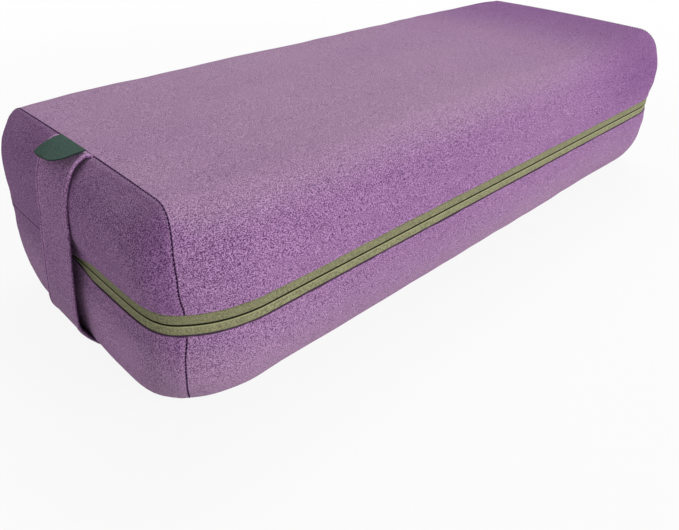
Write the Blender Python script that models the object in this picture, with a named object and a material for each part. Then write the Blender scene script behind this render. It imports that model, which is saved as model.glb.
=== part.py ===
"""Rectangular yoga bolster with a zipped suede cover, carry handles and a foam core.

Metres, +Z up. The origin is the middle of the base, +X runs along the bolster and
-Y is the long side that carries the zip. The near end is at -X.
"""
import math
from bisect import bisect_right

import bmesh
import bpy
from mathutils import Vector

# Form of the filled cover
BODY_LENGTH = 0.650
BODY_WIDTH = 0.257
BODY_HEIGHT = 0.1525
TOP_EDGE_SHARE = 0.259
BASE_EDGE_SHARE = 0.3148
TOP_CROWN = 0.0022
SIDE_SWELL = 0.003
CROWN_LEFT_AT_ENDS_SHARE = 0.5

# Rounding of each end: how far the end seam lies back from the end face and in from the sides
END_ROUNDING = 0.067
SEAM_BACK_AT_SIDE = 0.015
SEAM_BACK_AT_TOP = 0.0215
SEAM_BACK_AT_BASE = 0.0285
SEAM_BACK_LESS_AT_CORNERS = 0.0022
SEAM_IN_AT_SIDE = 0.015
SEAM_IN_AT_TOP = 0.0005
SEAM_IN_AT_BASE = 0.0035
SEAM_IN_AT_CORNERS = 0.0018
END_TURN = math.radians(36.5)
FLATNESS_AT_SIDE = 11.5
FLATNESS_AT_TOP = 6.0
FLATNESS_AT_BASE = 10.5

# Cover, liner, wadding and foam, from the outside in
COVER_THICKNESS = 0.0015
LINER_THICKNESS = 0.0008
END_PADDING = 0.023
SIDE_PADDING = 0.0165
FLAT_PADDING = 0.013
FOAM_LAYERS = ("lower", "middle", "upper")
FOAM_EDGE_RADIUS = 0.025
FOAM_CORNER_RADIUS = 0.030
SEWN_GAP = 0.0003
LAYER_GAP = 0.0006

# Zip: a reverse coil zip along the front side and round both front corners
ZIP_HEIGHT_SHARE = 0.5344
ZIP_OPENING = 0.015
ZIP_DRAW_IN = 0.0030
BACK_SEAM_DRAW_IN = 0.0012
DRAW_REACH_SHARE = 0.1574
TAPE_THICKNESS = 0.0006
TAPE_SEAM_ALLOWANCE = 0.005
TAPE_SLOT = 0.0014
TAPE_GAP = 0.0005
COIL_WIDTH = 0.0023
COIL_HEIGHT = 0.0016
ZIP_STOP_LENGTH = 0.0022
DRAW_FADE = 0.020
OPENING_NARROWS_AT = 0.032

# Zip slider and pull, on the far end
SLIDER_LENGTH = 0.0116
SLIDER_WIDTH = 0.0100
SLIDER_TAIL_WIDTH = 0.0090
SLIDER_PLATE = 0.0012
SLIDER_RIM = 0.0011
SLIDER_CLEARANCE = 0.0005
SLIDER_NECK_WIDTH = 0.0007
SLIDER_NECK_LENGTH = 0.0034
SLIDER_SET_BACK = 0.0072
BRIDGE_LENGTH = 0.0078
BRIDGE_WIDTH = 0.0024
BRIDGE_BAR = 0.0010
BRIDGE_ROOM = 0.0021
PULL_LENGTH = 0.0270
PULL_WIDTH = 0.0072
PULL_HEAD_WIDTH = 0.0054
PULL_THICKNESS = 0.0012
PULL_EYE_CLEARANCE = 0.0004
PULL_HOLE_RADIUS = 0.0017

# Carry handles, one on each end
HANDLE_WIDTH = 0.043
HANDLE_THICKNESS = 0.0022
HANDLE_HEM = 0.0045
HANDLE_HEM_RISE = 0.0003
HANDLE_OFFSET = 0.003
HANDLE_BOW = 0.0058

# Folded label, sewn in over the near handle
LABEL_WIDTH = 0.034
LABEL_LENGTH = 0.021
LABEL_THICKNESS = 0.0008
LABEL_OFFSET = 0.0015
LABEL_LEAVES_AT = math.radians(1)
LABEL_CURLS_TO = math.radians(26)

# Fineness of the modelled surfaces
ARC_STEPS = 5
TOP_STEPS = 4
ROUNDING_STEPS = 4
LENGTH_STEPS = 3
OUTLINE_STEPS = 24
FACE_RING_SHARES = (1.0, 0.96, 0.90, 0.80, 0.62)
SPLIT_SHARES = (1.0, 0.83, 0.61)
HANDLE_STEPS = 2
LABEL_STEPS = 6
HANDLE_RUN_SHARES = (
    (1, 1.0, 0.0), (1, 0.975, 0.22), (1, 0.94, 0.42), (1, 0.89, 0.46), (1, 0.81, 0.22),
    (1, 0.68, 0.03), (1, 0.50, 0.03), (1, 0.30, 0.16), (1, 0.10, 0.43), (-1, 0.10, 0.66),
    (-1, 0.30, 0.87), (-1, 0.48, 1.0), (-1, 0.60, 0.92), (-1, 0.70, 0.40), (-1, 0.79, 0.08),
    (-1, 0.88, 0.0), (-1, 0.95, 0.0), (-1, 1.0, 0.0),
)
PROBE = 0.00001

TOP_EDGE_RADIUS = BODY_HEIGHT * TOP_EDGE_SHARE
BASE_EDGE_RADIUS = BODY_HEIGHT * BASE_EDGE_SHARE
ZIP_HEIGHT = BODY_HEIGHT * ZIP_HEIGHT_SHARE
DRAW_REACH = BODY_HEIGHT * DRAW_REACH_SHARE
FOAM_LENGTH = BODY_LENGTH - 2 * END_PADDING
FOAM_WIDTH = BODY_WIDTH - 2 * SIDE_PADDING
FOAM_HEIGHT = BODY_HEIGHT - 2 * FLAT_PADDING
FOAM_LAYER_HEIGHT = (FOAM_HEIGHT + SEWN_GAP) / len(FOAM_LAYERS) - SEWN_GAP
HALF_LENGTH = BODY_LENGTH / 2
HALF_WIDTH = BODY_WIDTH / 2
HALF_OPENING = ZIP_OPENING / 2
TAPE_REACH = HALF_OPENING + TAPE_SEAM_ALLOWANCE
NEAR, FAR = -1, 1
FRONT, BACK = -1, 1
UP, DOWN = 1, -1
END_NAMES = {NEAR: "near", FAR: "far"}


def remove_old_objects():
    """Empty the scene of what it held before."""
    for old in list(bpy.data.objects):
        bpy.data.objects.remove(old, do_unlink=True)


def material(name, colour, roughness, metallic=0.0, sheen=0.0):
    """A Principled material in the part's own colour."""
    made = bpy.data.materials.new(name)
    made.use_nodes = True
    shader = made.node_tree.nodes["Principled BSDF"]
    shader.inputs["Base Color"].default_value = (*colour, 1.0)
    shader.inputs["Roughness"].default_value = roughness
    shader.inputs["Metallic"].default_value = metallic
    shader.inputs["Sheen Weight"].default_value = sheen
    made.diffuse_color = (*colour, 1.0)
    return made


def add_piece(name, vertices, faces, finish, parent=None, sharp=math.radians(40)):
    """Make one closed piece from its points and faces, shaded smooth between sharp edges."""
    mesh = bpy.data.meshes.new(name)
    mesh.from_pydata([tuple(v) for v in vertices], [], faces)
    mesh.validate()
    shape = bmesh.new()
    shape.from_mesh(mesh)
    bmesh.ops.recalc_face_normals(shape, faces=shape.faces)
    shape.to_mesh(mesh)
    shape.free()
    return place_mesh(name, mesh, finish, parent, sharp)


def place_mesh(name, mesh, finish, parent=None, sharp=math.radians(40)):
    """Put a mesh in the scene under its name, carried by parent if there is one."""
    mesh.shade_smooth()
    mesh.set_sharp_from_angle(angle=sharp)
    mesh.materials.append(finish)
    piece = bpy.data.objects.new(name, mesh)
    bpy.context.scene.collection.objects.link(piece)
    if parent is not None:
        piece.parent = parent
    return piece


# The filled form: one smooth skin, from which every layer keeps its own depth


def draw_depth(y):
    """How deep the zip, or the plain seam behind the handles, draws the skin in at y."""
    share = min(1.0, max(0.0, (y + DRAW_FADE / 2) / DRAW_FADE))
    share = share * share * (3 - 2 * share)
    return ZIP_DRAW_IN + (BACK_SEAM_DRAW_IN - ZIP_DRAW_IN) * share


def draw_in(y, z):
    """Depth of the drawn-in channel at a place on the sides or ends."""
    beside = (abs(z - ZIP_HEIGHT) - HALF_OPENING) / (DRAW_REACH - HALF_OPENING)
    beside = min(1.0, max(0.0, beside))
    return draw_depth(y) * (1 + math.cos(math.pi * beside)) / 2


def side_reach(side, z, drawn):
    """Distance of a long side from the middle plane at height z."""
    share = (z - BASE_EDGE_RADIUS) / (BODY_HEIGHT - TOP_EDGE_RADIUS - BASE_EDGE_RADIUS)
    reach = HALF_WIDTH + SIDE_SWELL * math.sin(math.pi * share) ** 2
    return reach - drawn * draw_in(side * HALF_WIDTH, z)


def crown_left(x):
    """Share of the top crown that is left at x along the length."""
    share = min(1.0, abs(x) / (HALF_LENGTH - END_ROUNDING))
    return 1 - (1 - CROWN_LEFT_AT_ENDS_SHARE) * share * share


def section_point(key, crown, drawn):
    """Point, spread direction and normal of the cross-section at a named place, as (y, z) pairs."""
    kind, where = key[0], key[1]
    if kind in ("front", "back"):
        side = FRONT if kind == "front" else BACK
        reach = side_reach(side, where, drawn)
        above = side_reach(side, where + PROBE, drawn)
        below = side_reach(side, where - PROBE, drawn)
        normal = Vector((side, -(above - below) / (2 * PROBE))).normalized()
        return Vector((side * reach, where)), Vector((side, 0)), normal
    if kind == "top":
        half = HALF_WIDTH - TOP_EDGE_RADIUS
        height = BODY_HEIGHT + TOP_CROWN * crown * (1 - (where / half) ** 2)
        slope = -2 * TOP_CROWN * crown * where / half**2
        return Vector((where, height)), Vector((0, 1)), Vector((-slope, 1)).normalized()
    if kind == "base":
        return Vector((where, 0)), Vector((0, -1)), Vector((0, -1))
    side, level = where
    radius = TOP_EDGE_RADIUS if level == UP else BASE_EDGE_RADIUS
    middle = BODY_HEIGHT - radius if level == UP else radius
    outward = Vector((side * math.cos(key[2]), level * math.sin(key[2])))
    centre = Vector((side * (HALF_WIDTH - radius), middle))
    return centre + radius * outward, outward, outward


def half_section(level, rows, arc_steps=ARC_STEPS):
    """Named places from the front side over the top, or under the base, to the back side.

    rows are heights above or below the zip line, for the front side and the back side.
    """
    front_rows, back_rows = rows
    corner = [math.radians(90) * step / arc_steps for step in range(arc_steps + 1)]
    flat = "top" if level == UP else "base"
    radius = TOP_EDGE_RADIUS if level == UP else BASE_EDGE_RADIUS
    half = HALF_WIDTH - radius
    keys = [("front", ZIP_HEIGHT + level * row) for row in front_rows]
    keys += [("arc", (FRONT, level), angle) for angle in corner]
    keys += [(flat, half * (2 * step / TOP_STEPS - 1)) for step in range(1, TOP_STEPS)]
    keys += [("arc", (BACK, level), angle) for angle in reversed(corner)]
    keys += [("back", ZIP_HEIGHT + level * row) for row in reversed(back_rows)]
    return keys


def blend(spread, side, top, base, corner):
    """Mix a size from its values at the side, top, base and corners by the spread direction."""
    flat = top if spread[1] > 0 else base
    across, along = spread[0] ** 2, spread[1] ** 2
    return side * across + flat * along + 4 * corner * across * along


def seam_back(spread):
    """How far the end seam lies back from the end face."""
    return blend(
        spread, SEAM_BACK_AT_SIDE, SEAM_BACK_AT_TOP, SEAM_BACK_AT_BASE, -SEAM_BACK_LESS_AT_CORNERS
    )


def wrap_point(key, turn, end, drawn):
    """Point and normal of the long wrap, where turn runs from 0 at its straight part to 1 at the seam."""
    start = HALF_LENGTH - END_ROUNDING
    point, spread, normal = section_point(key, crown_left(start), drawn)
    inset = blend(
        spread, SEAM_IN_AT_SIDE, SEAM_IN_AT_TOP, SEAM_IN_AT_BASE, SEAM_IN_AT_CORNERS
    )
    reach = END_ROUNDING - seam_back(spread)
    angle = turn * END_TURN
    along = reach * math.sin(angle) / math.sin(END_TURN)
    inward = inset * (1 - math.cos(angle)) / (1 - math.cos(END_TURN))
    slope_along = reach * math.cos(angle) / math.sin(END_TURN)
    slope_inward = inset * math.sin(angle) / (1 - math.cos(END_TURN))
    size = math.hypot(slope_along, slope_inward)
    place = point - spread * inward
    pulled = drawn * draw_in(place[0], point[1]) * turn * turn
    x = end * (start + along - pulled)
    outward = normal * (slope_along / size)
    return Vector((x, *place)), Vector((end * slope_inward / size, *outward))


def length_point(key, x, drawn):
    """Point and normal of the straight part of the wrap at x."""
    point, _, normal = section_point(key, crown_left(x), drawn)
    return Vector((x, *point)), Vector((0, *normal))


class EndOutline:
    """The outline of the end seam, from which the end face's depth is worked out."""

    def __init__(self, drawn):
        rows = [DRAW_REACH * step / OUTLINE_STEPS for step in range(OUTLINE_STEPS + 1)]
        self.drawn = drawn
        self.spokes = []
        for level in (UP, DOWN):
            for key in half_section(level, (rows, rows), OUTLINE_STEPS):
                point, spread, _ = section_point(key, crown_left(HALF_LENGTH), drawn)
                seam, _ = wrap_point(key, 1.0, FAR, drawn)
                arm = Vector((seam[1], seam[2] - ZIP_HEIGHT))
                flatness = blend(
                    spread, FLATNESS_AT_SIDE, FLATNESS_AT_TOP, FLATNESS_AT_BASE, 0.0
                )
                back = seam_back(spread)
                self.spokes.append((math.atan2(arm[1], arm[0]), arm.length, back, flatness))
        self.spokes.sort()
        self.angles = [spoke[0] for spoke in self.spokes]

    def place(self, key):
        """Place (y, z) of the end seam at a named place of the section."""
        seam, _ = wrap_point(key, 1.0, FAR, self.drawn)
        return seam[1], seam[2]

    def depth(self, y, z):
        """Depth of the end face behind its foremost plane."""
        arm = Vector((y, z - ZIP_HEIGHT))
        if arm.length < PROBE:
            return self.drawn * draw_in(y, z)
        angle = math.atan2(arm[1], arm[0])
        after = bisect_right(self.angles, angle) % len(self.spokes)
        before = after - 1
        low, high = self.spokes[before], self.spokes[after]
        span = (high[0] - low[0]) % math.tau
        share = ((angle - low[0]) % math.tau) / span if span else 0.0
        radius, back, flatness = (a + (b - a) * share for a, b in zip(low[1:], high[1:]))
        return back * (arm.length / radius) ** flatness + self.drawn * draw_in(y, z)

    def point(self, y, z, end):
        """Point and normal of the end face at y, z."""
        x = end * (HALF_LENGTH - self.depth(y, z))
        rise_y = (self.depth(y + PROBE, z) - self.depth(y - PROBE, z)) / (2 * PROBE)
        rise_z = (self.depth(y, z + PROBE) - self.depth(y, z - PROBE)) / (2 * PROBE)
        return Vector((x, y, z)), Vector((end, rise_y, rise_z)).normalized()


def mitre(first, second):
    """Offset direction that keeps one depth behind two faces that meet at a seam."""
    return (first + second) / (1 + first.dot(second))


def seam_place(key, end, outline):
    """The seam's point and its mitred offset direction."""
    place, wrap_normal = wrap_point(key, 1.0, end, outline.drawn)
    _, face_normal = outline.point(place[1], place[2], end)
    return place, mitre(wrap_normal, face_normal)


def settle_at_seam(place, towards, gap):
    """Move a seam point half a gap back along its own surface."""
    return place + (towards - place).normalized() * gap / 2


def wrap_rings(keys, outline, gap=SEWN_GAP):
    """Rings of (point, offset direction) along the wrap, from the near seam to the far seam."""
    start = HALF_LENGTH - END_ROUNDING
    turns = [step / ROUNDING_STEPS for step in range(ROUNDING_STEPS)]
    ends = {}
    for end in (NEAR, FAR):
        rings = [[wrap_point(key, turn, end, outline.drawn) for key in keys] for turn in turns]
        last = []
        for (inner, _), key in zip(rings[-1], keys):
            place, offset = seam_place(key, end, outline)
            last.append((settle_at_seam(place, inner, gap), offset))
        ends[end] = rings + [last]
    middle = []
    for step in range(1, LENGTH_STEPS):
        x = start * (2 * step / LENGTH_STEPS - 1)
        middle.append([length_point(key, x, outline.drawn) for key in keys])
    return ends[NEAR][::-1] + middle + ends[FAR]


def fan_grid(level, outline_place):
    """Places (key, share, y, z) of an end face beyond its zip band.

    The rings run from the seam in to the middle of the band's edge.
    """
    keys = half_section(level, ((DRAW_REACH,), (DRAW_REACH,)))
    _, begins = outline_place(keys[0])
    rings = []
    for share in (*face_ring_shares(), 0.0):
        ring = []
        for key in keys:
            seam_y, seam_z = outline_place(key)
            ring.append((key, share, seam_y * share, begins + (seam_z - begins) * share))
        rings.append(ring)
    return rings


def band_grid(rows, outline_place):
    """Places (key, share, y, z) of the level band that runs across an end face at the zip.

    Each row gives the height above the zip line at y.
    """
    shares = face_ring_shares()
    grid = []
    for row in rows:
        line = []
        for side, steps in ((FRONT, (*shares, 0.0)), (BACK, shares[::-1])):
            rise = row(side * HALF_WIDTH)
            key = ("front" if side == FRONT else "back", ZIP_HEIGHT + rise)
            seam_y, seam_z = outline_place(key)
            for share in steps:
                y = seam_y * share
                line.append((key, share, y, seam_z + row(y) - rise))
        grid.append(line)
    return grid


def face_ring_shares():
    """Shares of the way out to the seam at which the rings of an end face lie.

    The inner two are where the zip's opening narrows and at the handle's edge.
    """
    places = (OPENING_NARROWS_AT, HANDLE_WIDTH / 2 - HANDLE_OFFSET)
    inner = tuple(place / (HALF_WIDTH - SEAM_IN_AT_SIDE - ZIP_DRAW_IN) for place in places)
    return FACE_RING_SHARES + inner


def steady(height):
    """A row of one height all along."""
    return lambda y: height


def face_rings(grid, end, outline, gap=SEWN_GAP):
    """Points and offset directions on the end face for a grid of places."""
    rings = []
    for line in grid:
        ring = []
        for key, share, y, z in line:
            if share < 1:
                ring.append(outline.point(y, z, end))
                continue
            place, offset = seam_place(key, end, outline)
            inward = Vector((0, -place[1], ZIP_HEIGHT - place[2])).normalized() * gap
            landed, _ = outline.point(place[1] + inward[1], place[2] + inward[2], end)
            ring.append((settle_at_seam(place, landed, gap), offset))
        rings.append(ring)
    return rings


def at_depth(rings, depth):
    """Points of rings moved in by a depth, or by a function of the point."""
    return [
        [point - offset * (depth(point) if callable(depth) else depth) for point, offset in ring]
        for ring in rings
    ]


def split_quads(points, faces):
    """Faces with each four-sided one cut from its corner farthest along SPLIT_SHARES.

    Layers that lie close behind each other are so cut alike, and keep their gap.
    """
    split = []
    for face in faces:
        if len(face) != 4:
            split.append(face)
            continue
        levers = [
            sum(abs(value) * share for value, share in zip(points[corner], SPLIT_SHARES))
            for corner in face
        ]
        first = levers.index(max(levers))
        a, b, c, d = face[first:] + face[:first]
        split += [(a, b, c), (a, c, d)]
    return split


def shell(grids):
    """Vertices and faces of one closed shell from pairs of outer and inner grids of points.

    Outer points that lie on each other are welded, and open edges get a rim. A pair with
    no inner grid gives an outer skin alone.
    """
    places, welded, outer, inner, faces = {}, [], [], [], []
    for outside, inside in grids:
        for row, line in enumerate(outside):
            for column, point in enumerate(line):
                name = tuple(round(value / PROBE) for value in point)
                if name not in places:
                    places[name] = len(outer)
                    outer.append(point)
                    inner.append(inside[row][column] if inside else None)
                welded.append(places[name])
    first = 0
    for outside, _ in grids:
        rows, columns = len(outside), len(outside[0])
        for row in range(rows - 1):
            for column in range(columns - 1):
                corner = first + row * columns + column
                loop = (corner, corner + 1, corner + columns + 1, corner + columns)
                loop = [welded[index] for index in loop]
                loop = [index for place, index in enumerate(loop) if index != loop[place - 1]]
                if len(set(loop)) > 2:
                    faces.append(tuple(loop))
        first += rows * columns
    faces = split_quads(outer, faces)
    if inner[0] is None:
        return outer, faces
    count = len(outer)
    edges = {}
    for face in faces:
        for start, stop in zip(face, (*face[1:], face[0])):
            edges[start, stop] = True
    rim = [pair for pair in edges if pair[::-1] not in edges]
    faces += [tuple(count + corner for corner in reversed(face)) for face in faces]
    rims = [(stop, start, count + start, count + stop) for start, stop in rim]
    return outer + inner, faces + split_quads(outer + inner, rims)


# Sewn cover


def opening_edge(end, level):
    """Row of the cover's edge along the zip on an end face.

    It narrows to the plain seam under the handle, on the near end from a little before it.
    """
    start = -OPENING_NARROWS_AT if end == NEAR else handle_edge()

    def edge(y):
        share = min(1.0, max(0.0, 1 - y / start))
        return level * (HALF_OPENING + (SEWN_GAP / 2 - HALF_OPENING) * share)

    return edge


def add_cover(outline, suede):
    """The suede cover: an upper and a lower wrap, and two half panels at each end."""
    rows = ((HALF_OPENING, TAPE_REACH, DRAW_REACH), (SEWN_GAP / 2, TAPE_REACH, DRAW_REACH))
    for level, half in ((UP, "upper"), (DOWN, "lower")):
        rings = wrap_rings(half_section(level, rows), outline)
        sides = (at_depth(rings, 0), at_depth(rings, COVER_THICKNESS))
        add_piece("cover_" + half, *shell([sides]), suede)
        for end, name in END_NAMES.items():
            band = (opening_edge(end, level), steady(level * TAPE_REACH), steady(level * DRAW_REACH))
            grids = [band_grid(band[::-level], outline.place), fan_grid(level, outline.place)[::level]]
            sides = []
            for grid in grids:
                rings = face_rings(grid, end, outline)
                sides.append((at_depth(rings, 0), at_depth(rings, COVER_THICKNESS)))
            add_piece(f"end_panel_{name}_{half}", *shell(sides), suede)


# Liner and wadding


def inner_rows():
    """Heights from the zip line at which the inner layers' surfaces bend."""
    floor = SLIDER_WIDTH / 2 + 2 * SLIDER_CLEARANCE
    return floor, TAPE_REACH, DRAW_REACH


def liner_depth(point):
    """Depth of the liner behind the cover's face: a groove behind the zip, even elsewhere."""
    floor, reach, end = inner_rows()
    even = COVER_THICKNESS + LAYER_GAP
    if point[1] > PROBE:
        return even
    behind_tape = tape_depth() + TAPE_THICKNESS + LAYER_GAP
    behind_slider = lower_plate_depth() + SLIDER_PLATE + LAYER_GAP
    away = abs(point[2] - ZIP_HEIGHT)
    if away <= floor:
        return behind_slider
    if away <= reach:
        return behind_slider + (behind_tape - behind_slider) * (away - floor) / (reach - floor)
    return behind_tape + (even - behind_tape) * min(1.0, (away - reach) / (end - reach))


def wadding_depth(point):
    """Depth of the wadding's outer face behind the cover's face."""
    return liner_depth(point) + LINER_THICKNESS + LAYER_GAP


def full_loop():
    """Named places all round the section, ending where they start."""
    floor, reach, end = inner_rows()
    upper = half_section(UP, ((reach, end), (reach, end)))
    lower = half_section(DOWN, ((reach, end), (reach, end)))
    rows = (floor, 0.0, -floor)
    back = [("back", ZIP_HEIGHT + row) for row in rows]
    front = [("front", ZIP_HEIGHT + row) for row in reversed(rows)]
    return upper + back + lower[::-1] + front + upper[:1]


def full_face_grids(outline_place):
    """Grids of places that cover a whole end face: two fans and the band between them."""
    floor, reach, end = inner_rows()
    rows = [steady(height) for height in (end, reach, floor, 0.0, -floor, -reach, -end)]
    fans = [fan_grid(level, outline_place)[::level] for level in (UP, DOWN)]
    return [fans[0], band_grid(rows, outline_place), fans[1]]


def add_liner(outline, cloth):
    """The inner liner: a tube and its two end pieces, grooved behind the zip."""
    rings = wrap_rings(full_loop(), outline, LAYER_GAP)
    outer = at_depth(rings, liner_depth)
    inner = at_depth(rings, lambda point: liner_depth(point) + LINER_THICKNESS)
    add_piece("liner_wrap", *shell([(outer, inner)]), cloth)
    for end, name in END_NAMES.items():
        sides = []
        for grid in full_face_grids(outline.place):
            rings = face_rings(grid, end, outline, LAYER_GAP)
            outer = at_depth(rings, liner_depth)
            inner = at_depth(rings, lambda point: liner_depth(point) + LINER_THICKNESS)
            sides.append((outer, inner))
        add_piece(f"liner_end_{name}", *shell(sides), cloth)


def foam_place(key, turn, grown):
    """Distance from the corner's start along X, and (y, z), of the foam block's surface.

    turn runs from 0 on the straight sides to 1 on the end face; grown widens the block.
    """
    radius = FOAM_EDGE_RADIUS
    half_width, half_height = FOAM_WIDTH / 2, FOAM_HEIGHT / 2
    middle = BODY_HEIGHT / 2
    kind, where = key[0], key[1]
    if kind in ("front", "back"):
        share = (where - BASE_EDGE_RADIUS) / (BODY_HEIGHT - TOP_EDGE_RADIUS - BASE_EDGE_RADIUS)
        side = FRONT if kind == "front" else BACK
        y = side * (half_width + grown)
        z = middle + (half_height - radius) * (2 * share - 1)
    elif kind in ("top", "base"):
        level = UP if kind == "top" else DOWN
        half = HALF_WIDTH - (TOP_EDGE_RADIUS if level == UP else BASE_EDGE_RADIUS)
        y = where / half * (half_width - radius)
        z = middle + level * (half_height + grown)
    else:
        side, level = where
        y = side * (half_width - radius + (radius + grown) * math.cos(key[2]))
        z = middle + level * (half_height - radius + (radius + grown) * math.sin(key[2]))
    angle = math.radians(90) * turn
    corner = FOAM_CORNER_RADIUS
    along = (corner + grown) * math.sin(angle)
    squeeze = (half_width - corner * (1 - math.cos(angle))) / half_width
    return along, y * squeeze, z


def foam_rings(keys, grown):
    """Rings of points on the foam block, in step with the rings of the wraps round it."""
    start = FOAM_LENGTH / 2 - FOAM_CORNER_RADIUS
    ends = {}
    for end in (NEAR, FAR):
        rings = []
        for step in range(ROUNDING_STEPS + 1):
            ring = []
            for key in keys:
                along, y, z = foam_place(key, step / ROUNDING_STEPS, grown)
                ring.append(Vector((end * (start + along), y, z)))
            rings.append(ring)
        ends[end] = rings
    middle = []
    for step in range(1, LENGTH_STEPS):
        x = start * (2 * step / LENGTH_STEPS - 1)
        middle.append([Vector((x, point[1], point[2])) for point in ends[FAR][0]])
    return ends[NEAR][::-1] + middle + ends[FAR]


def add_wadding(outline, fleece):
    """Fleece wadding: a tube round the foam and a pad at each end."""
    keys = full_loop()
    outer = at_depth(wrap_rings(keys, outline, LAYER_GAP), wadding_depth)
    inner = foam_rings(keys, LAYER_GAP)
    add_piece("wadding_wrap", *shell([(outer, inner)]), fleece)

    def foam_outline(key):
        return foam_place(key, 1.0, LAYER_GAP)[1:]

    for end, name in END_NAMES.items():
        x = end * (FOAM_LENGTH / 2 + 2 * LAYER_GAP)
        sides = []
        for grid, seat in zip(full_face_grids(outline.place), full_face_grids(foam_outline)):
            outer = at_depth(face_rings(grid, end, outline, LAYER_GAP), wadding_depth)
            inner = [[Vector((x, y, z)) for _, _, y, z in line] for line in seat]
            sides.append((outer, inner))
        add_piece(f"wadding_end_{name}", *shell(sides), fleece)


def add_foam(foams):
    """The foam block, cut into the sheets that it is glued from."""
    upper, lower = (half_section(level, ((DRAW_REACH,), (DRAW_REACH,))) for level in (UP, DOWN))
    rings = foam_rings(upper + lower[::-1] + upper[:1], 0)
    vertices, faces = shell([(rings, None)])
    around = len(rings[0]) - 1
    faces.append(tuple(range(around)))
    faces.append(tuple(range(len(vertices) - around, len(vertices)))[::-1])
    lowest = (BODY_HEIGHT - FOAM_HEIGHT) / 2
    for step, name in enumerate(FOAM_LAYERS):
        floor = lowest + step * (FOAM_LAYER_HEIGHT + SEWN_GAP)
        mesh = bpy.data.meshes.new("foam_layer_" + name)
        mesh.from_pydata([tuple(v) for v in vertices], [], faces)
        shape = bmesh.new()
        shape.from_mesh(mesh)
        bmesh.ops.recalc_face_normals(shape, faces=shape.faces)
        if step > 0:
            cut_flat(shape, floor, DOWN)
        if step < len(FOAM_LAYERS) - 1:
            cut_flat(shape, floor + FOAM_LAYER_HEIGHT, UP)
        shape.to_mesh(mesh)
        shape.free()
        place_mesh("foam_layer_" + name, mesh, foams[name])


def cut_flat(shape, height, side):
    """Cut a closed shape level at a height, drop the part on one side and close the cut."""
    everything = shape.verts[:] + shape.edges[:] + shape.faces[:]
    bmesh.ops.bisect_plane(
        shape, geom=everything, plane_co=(0, 0, height), plane_no=(0, 0, side), clear_outer=True
    )
    bmesh.ops.holes_fill(shape, edges=[edge for edge in shape.edges if edge.is_boundary])


# Zip


def tape_depth():
    """Depth of the tapes' outer face behind the cover's face."""
    return COVER_THICKNESS + TAPE_GAP


def coil_depth():
    """Depth of the coils' outer side behind the cover's face."""
    return tape_depth() + TAPE_THICKNESS + SEWN_GAP


def lower_plate_depth():
    """Depth of the slider's inner plate, behind the coils."""
    return coil_depth() + COIL_HEIGHT + SLIDER_CLEARANCE


def zip_path(rise, outline, whole=True):
    """Points and offset directions along the zip, at a rise above its middle line.

    It runs from under the near handle, round both front corners, to under the far handle;
    without whole it stops at the handles' edges.
    """
    key = ("front", ZIP_HEIGHT + rise)
    seam_y, seam_z = outline.place(key)
    shares = face_ring_shares()[1:] + ((0.0,) if whole else ())
    ends = {}
    for end in (NEAR, FAR):
        face = [outline.point(seam_y * share, seam_z, end) for share in shares]
        turns = [step / ROUNDING_STEPS for step in range(ROUNDING_STEPS)]
        wrap = [wrap_point(key, turn, end, outline.drawn) for turn in turns]
        ends[end] = wrap + [seam_place(key, end, outline)] + face
    start = HALF_LENGTH - END_ROUNDING
    steps = [start * (2 * step / LENGTH_STEPS - 1) for step in range(1, LENGTH_STEPS)]
    middle = [length_point(key, x, outline.drawn) for x in steps]
    return ends[NEAR][::-1] + middle + ends[FAR]


def add_zip_tapes(outline, woven):
    """The two woven tapes, seamed in behind the cover's edges."""
    for level, half in ((UP, "upper"), (DOWN, "lower")):
        rises = (TAPE_SLOT / 2, HALF_OPENING, TAPE_REACH)
        rings = [zip_path(level * rise, outline) for rise in rises]
        sides = (at_depth(rings, tape_depth()), at_depth(rings, tape_depth() + TAPE_THICKNESS))
        add_piece("zip_tape_" + half, *shell([sides]), woven)


def bar_along(rings):
    """Vertices and faces of a closed bar through rings of points, with flat ends."""
    around = len(rings[0])
    vertices = [point for ring in rings for point in ring]
    faces = [tuple(range(around))[::-1]]
    faces.append(tuple(range(len(vertices) - around, len(vertices))))
    for row in range(len(rings) - 1):
        for column in range(around):
            beside = (column + 1) % around
            low, high = row * around, (row + 1) * around
            faces.append((low + column, low + beside, high + beside, high + column))
    return vertices, faces


def add_zip_coils(outline, nylon):
    """The two coils of the chain, behind the tapes."""
    chamfer = COIL_HEIGHT / 4
    section = (
        (TAPE_SLOT / 2, chamfer), (TAPE_SLOT / 2, COIL_HEIGHT - chamfer),
        (TAPE_SLOT / 2 + chamfer, COIL_HEIGHT), (TAPE_SLOT / 2 + COIL_WIDTH - chamfer, COIL_HEIGHT),
        (TAPE_SLOT / 2 + COIL_WIDTH, COIL_HEIGHT / 2), (TAPE_SLOT / 2 + COIL_WIDTH - chamfer, 0.0),
        (TAPE_SLOT / 2 + chamfer, 0.0),
    )
    for level, half in ((UP, "upper"), (DOWN, "lower")):
        lines = []
        for rise, depth in section:
            path = zip_path(level * rise, outline, whole=False)
            lines.append([point - offset * (coil_depth() + depth) for point, offset in path])
        vertices, faces = bar_along([list(ring) for ring in zip(*lines)])
        add_piece("zip_coil_" + half, vertices, split_quads(vertices, faces), nylon)


def handle_edge():
    """Y of the handles' edge that covers the ends of the zip."""
    return HANDLE_OFFSET - HANDLE_WIDTH / 2


def zip_floor():
    """Distance of the cover's face along X at the bottom of the zip's channel."""
    return HALF_LENGTH - ZIP_DRAW_IN


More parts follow.
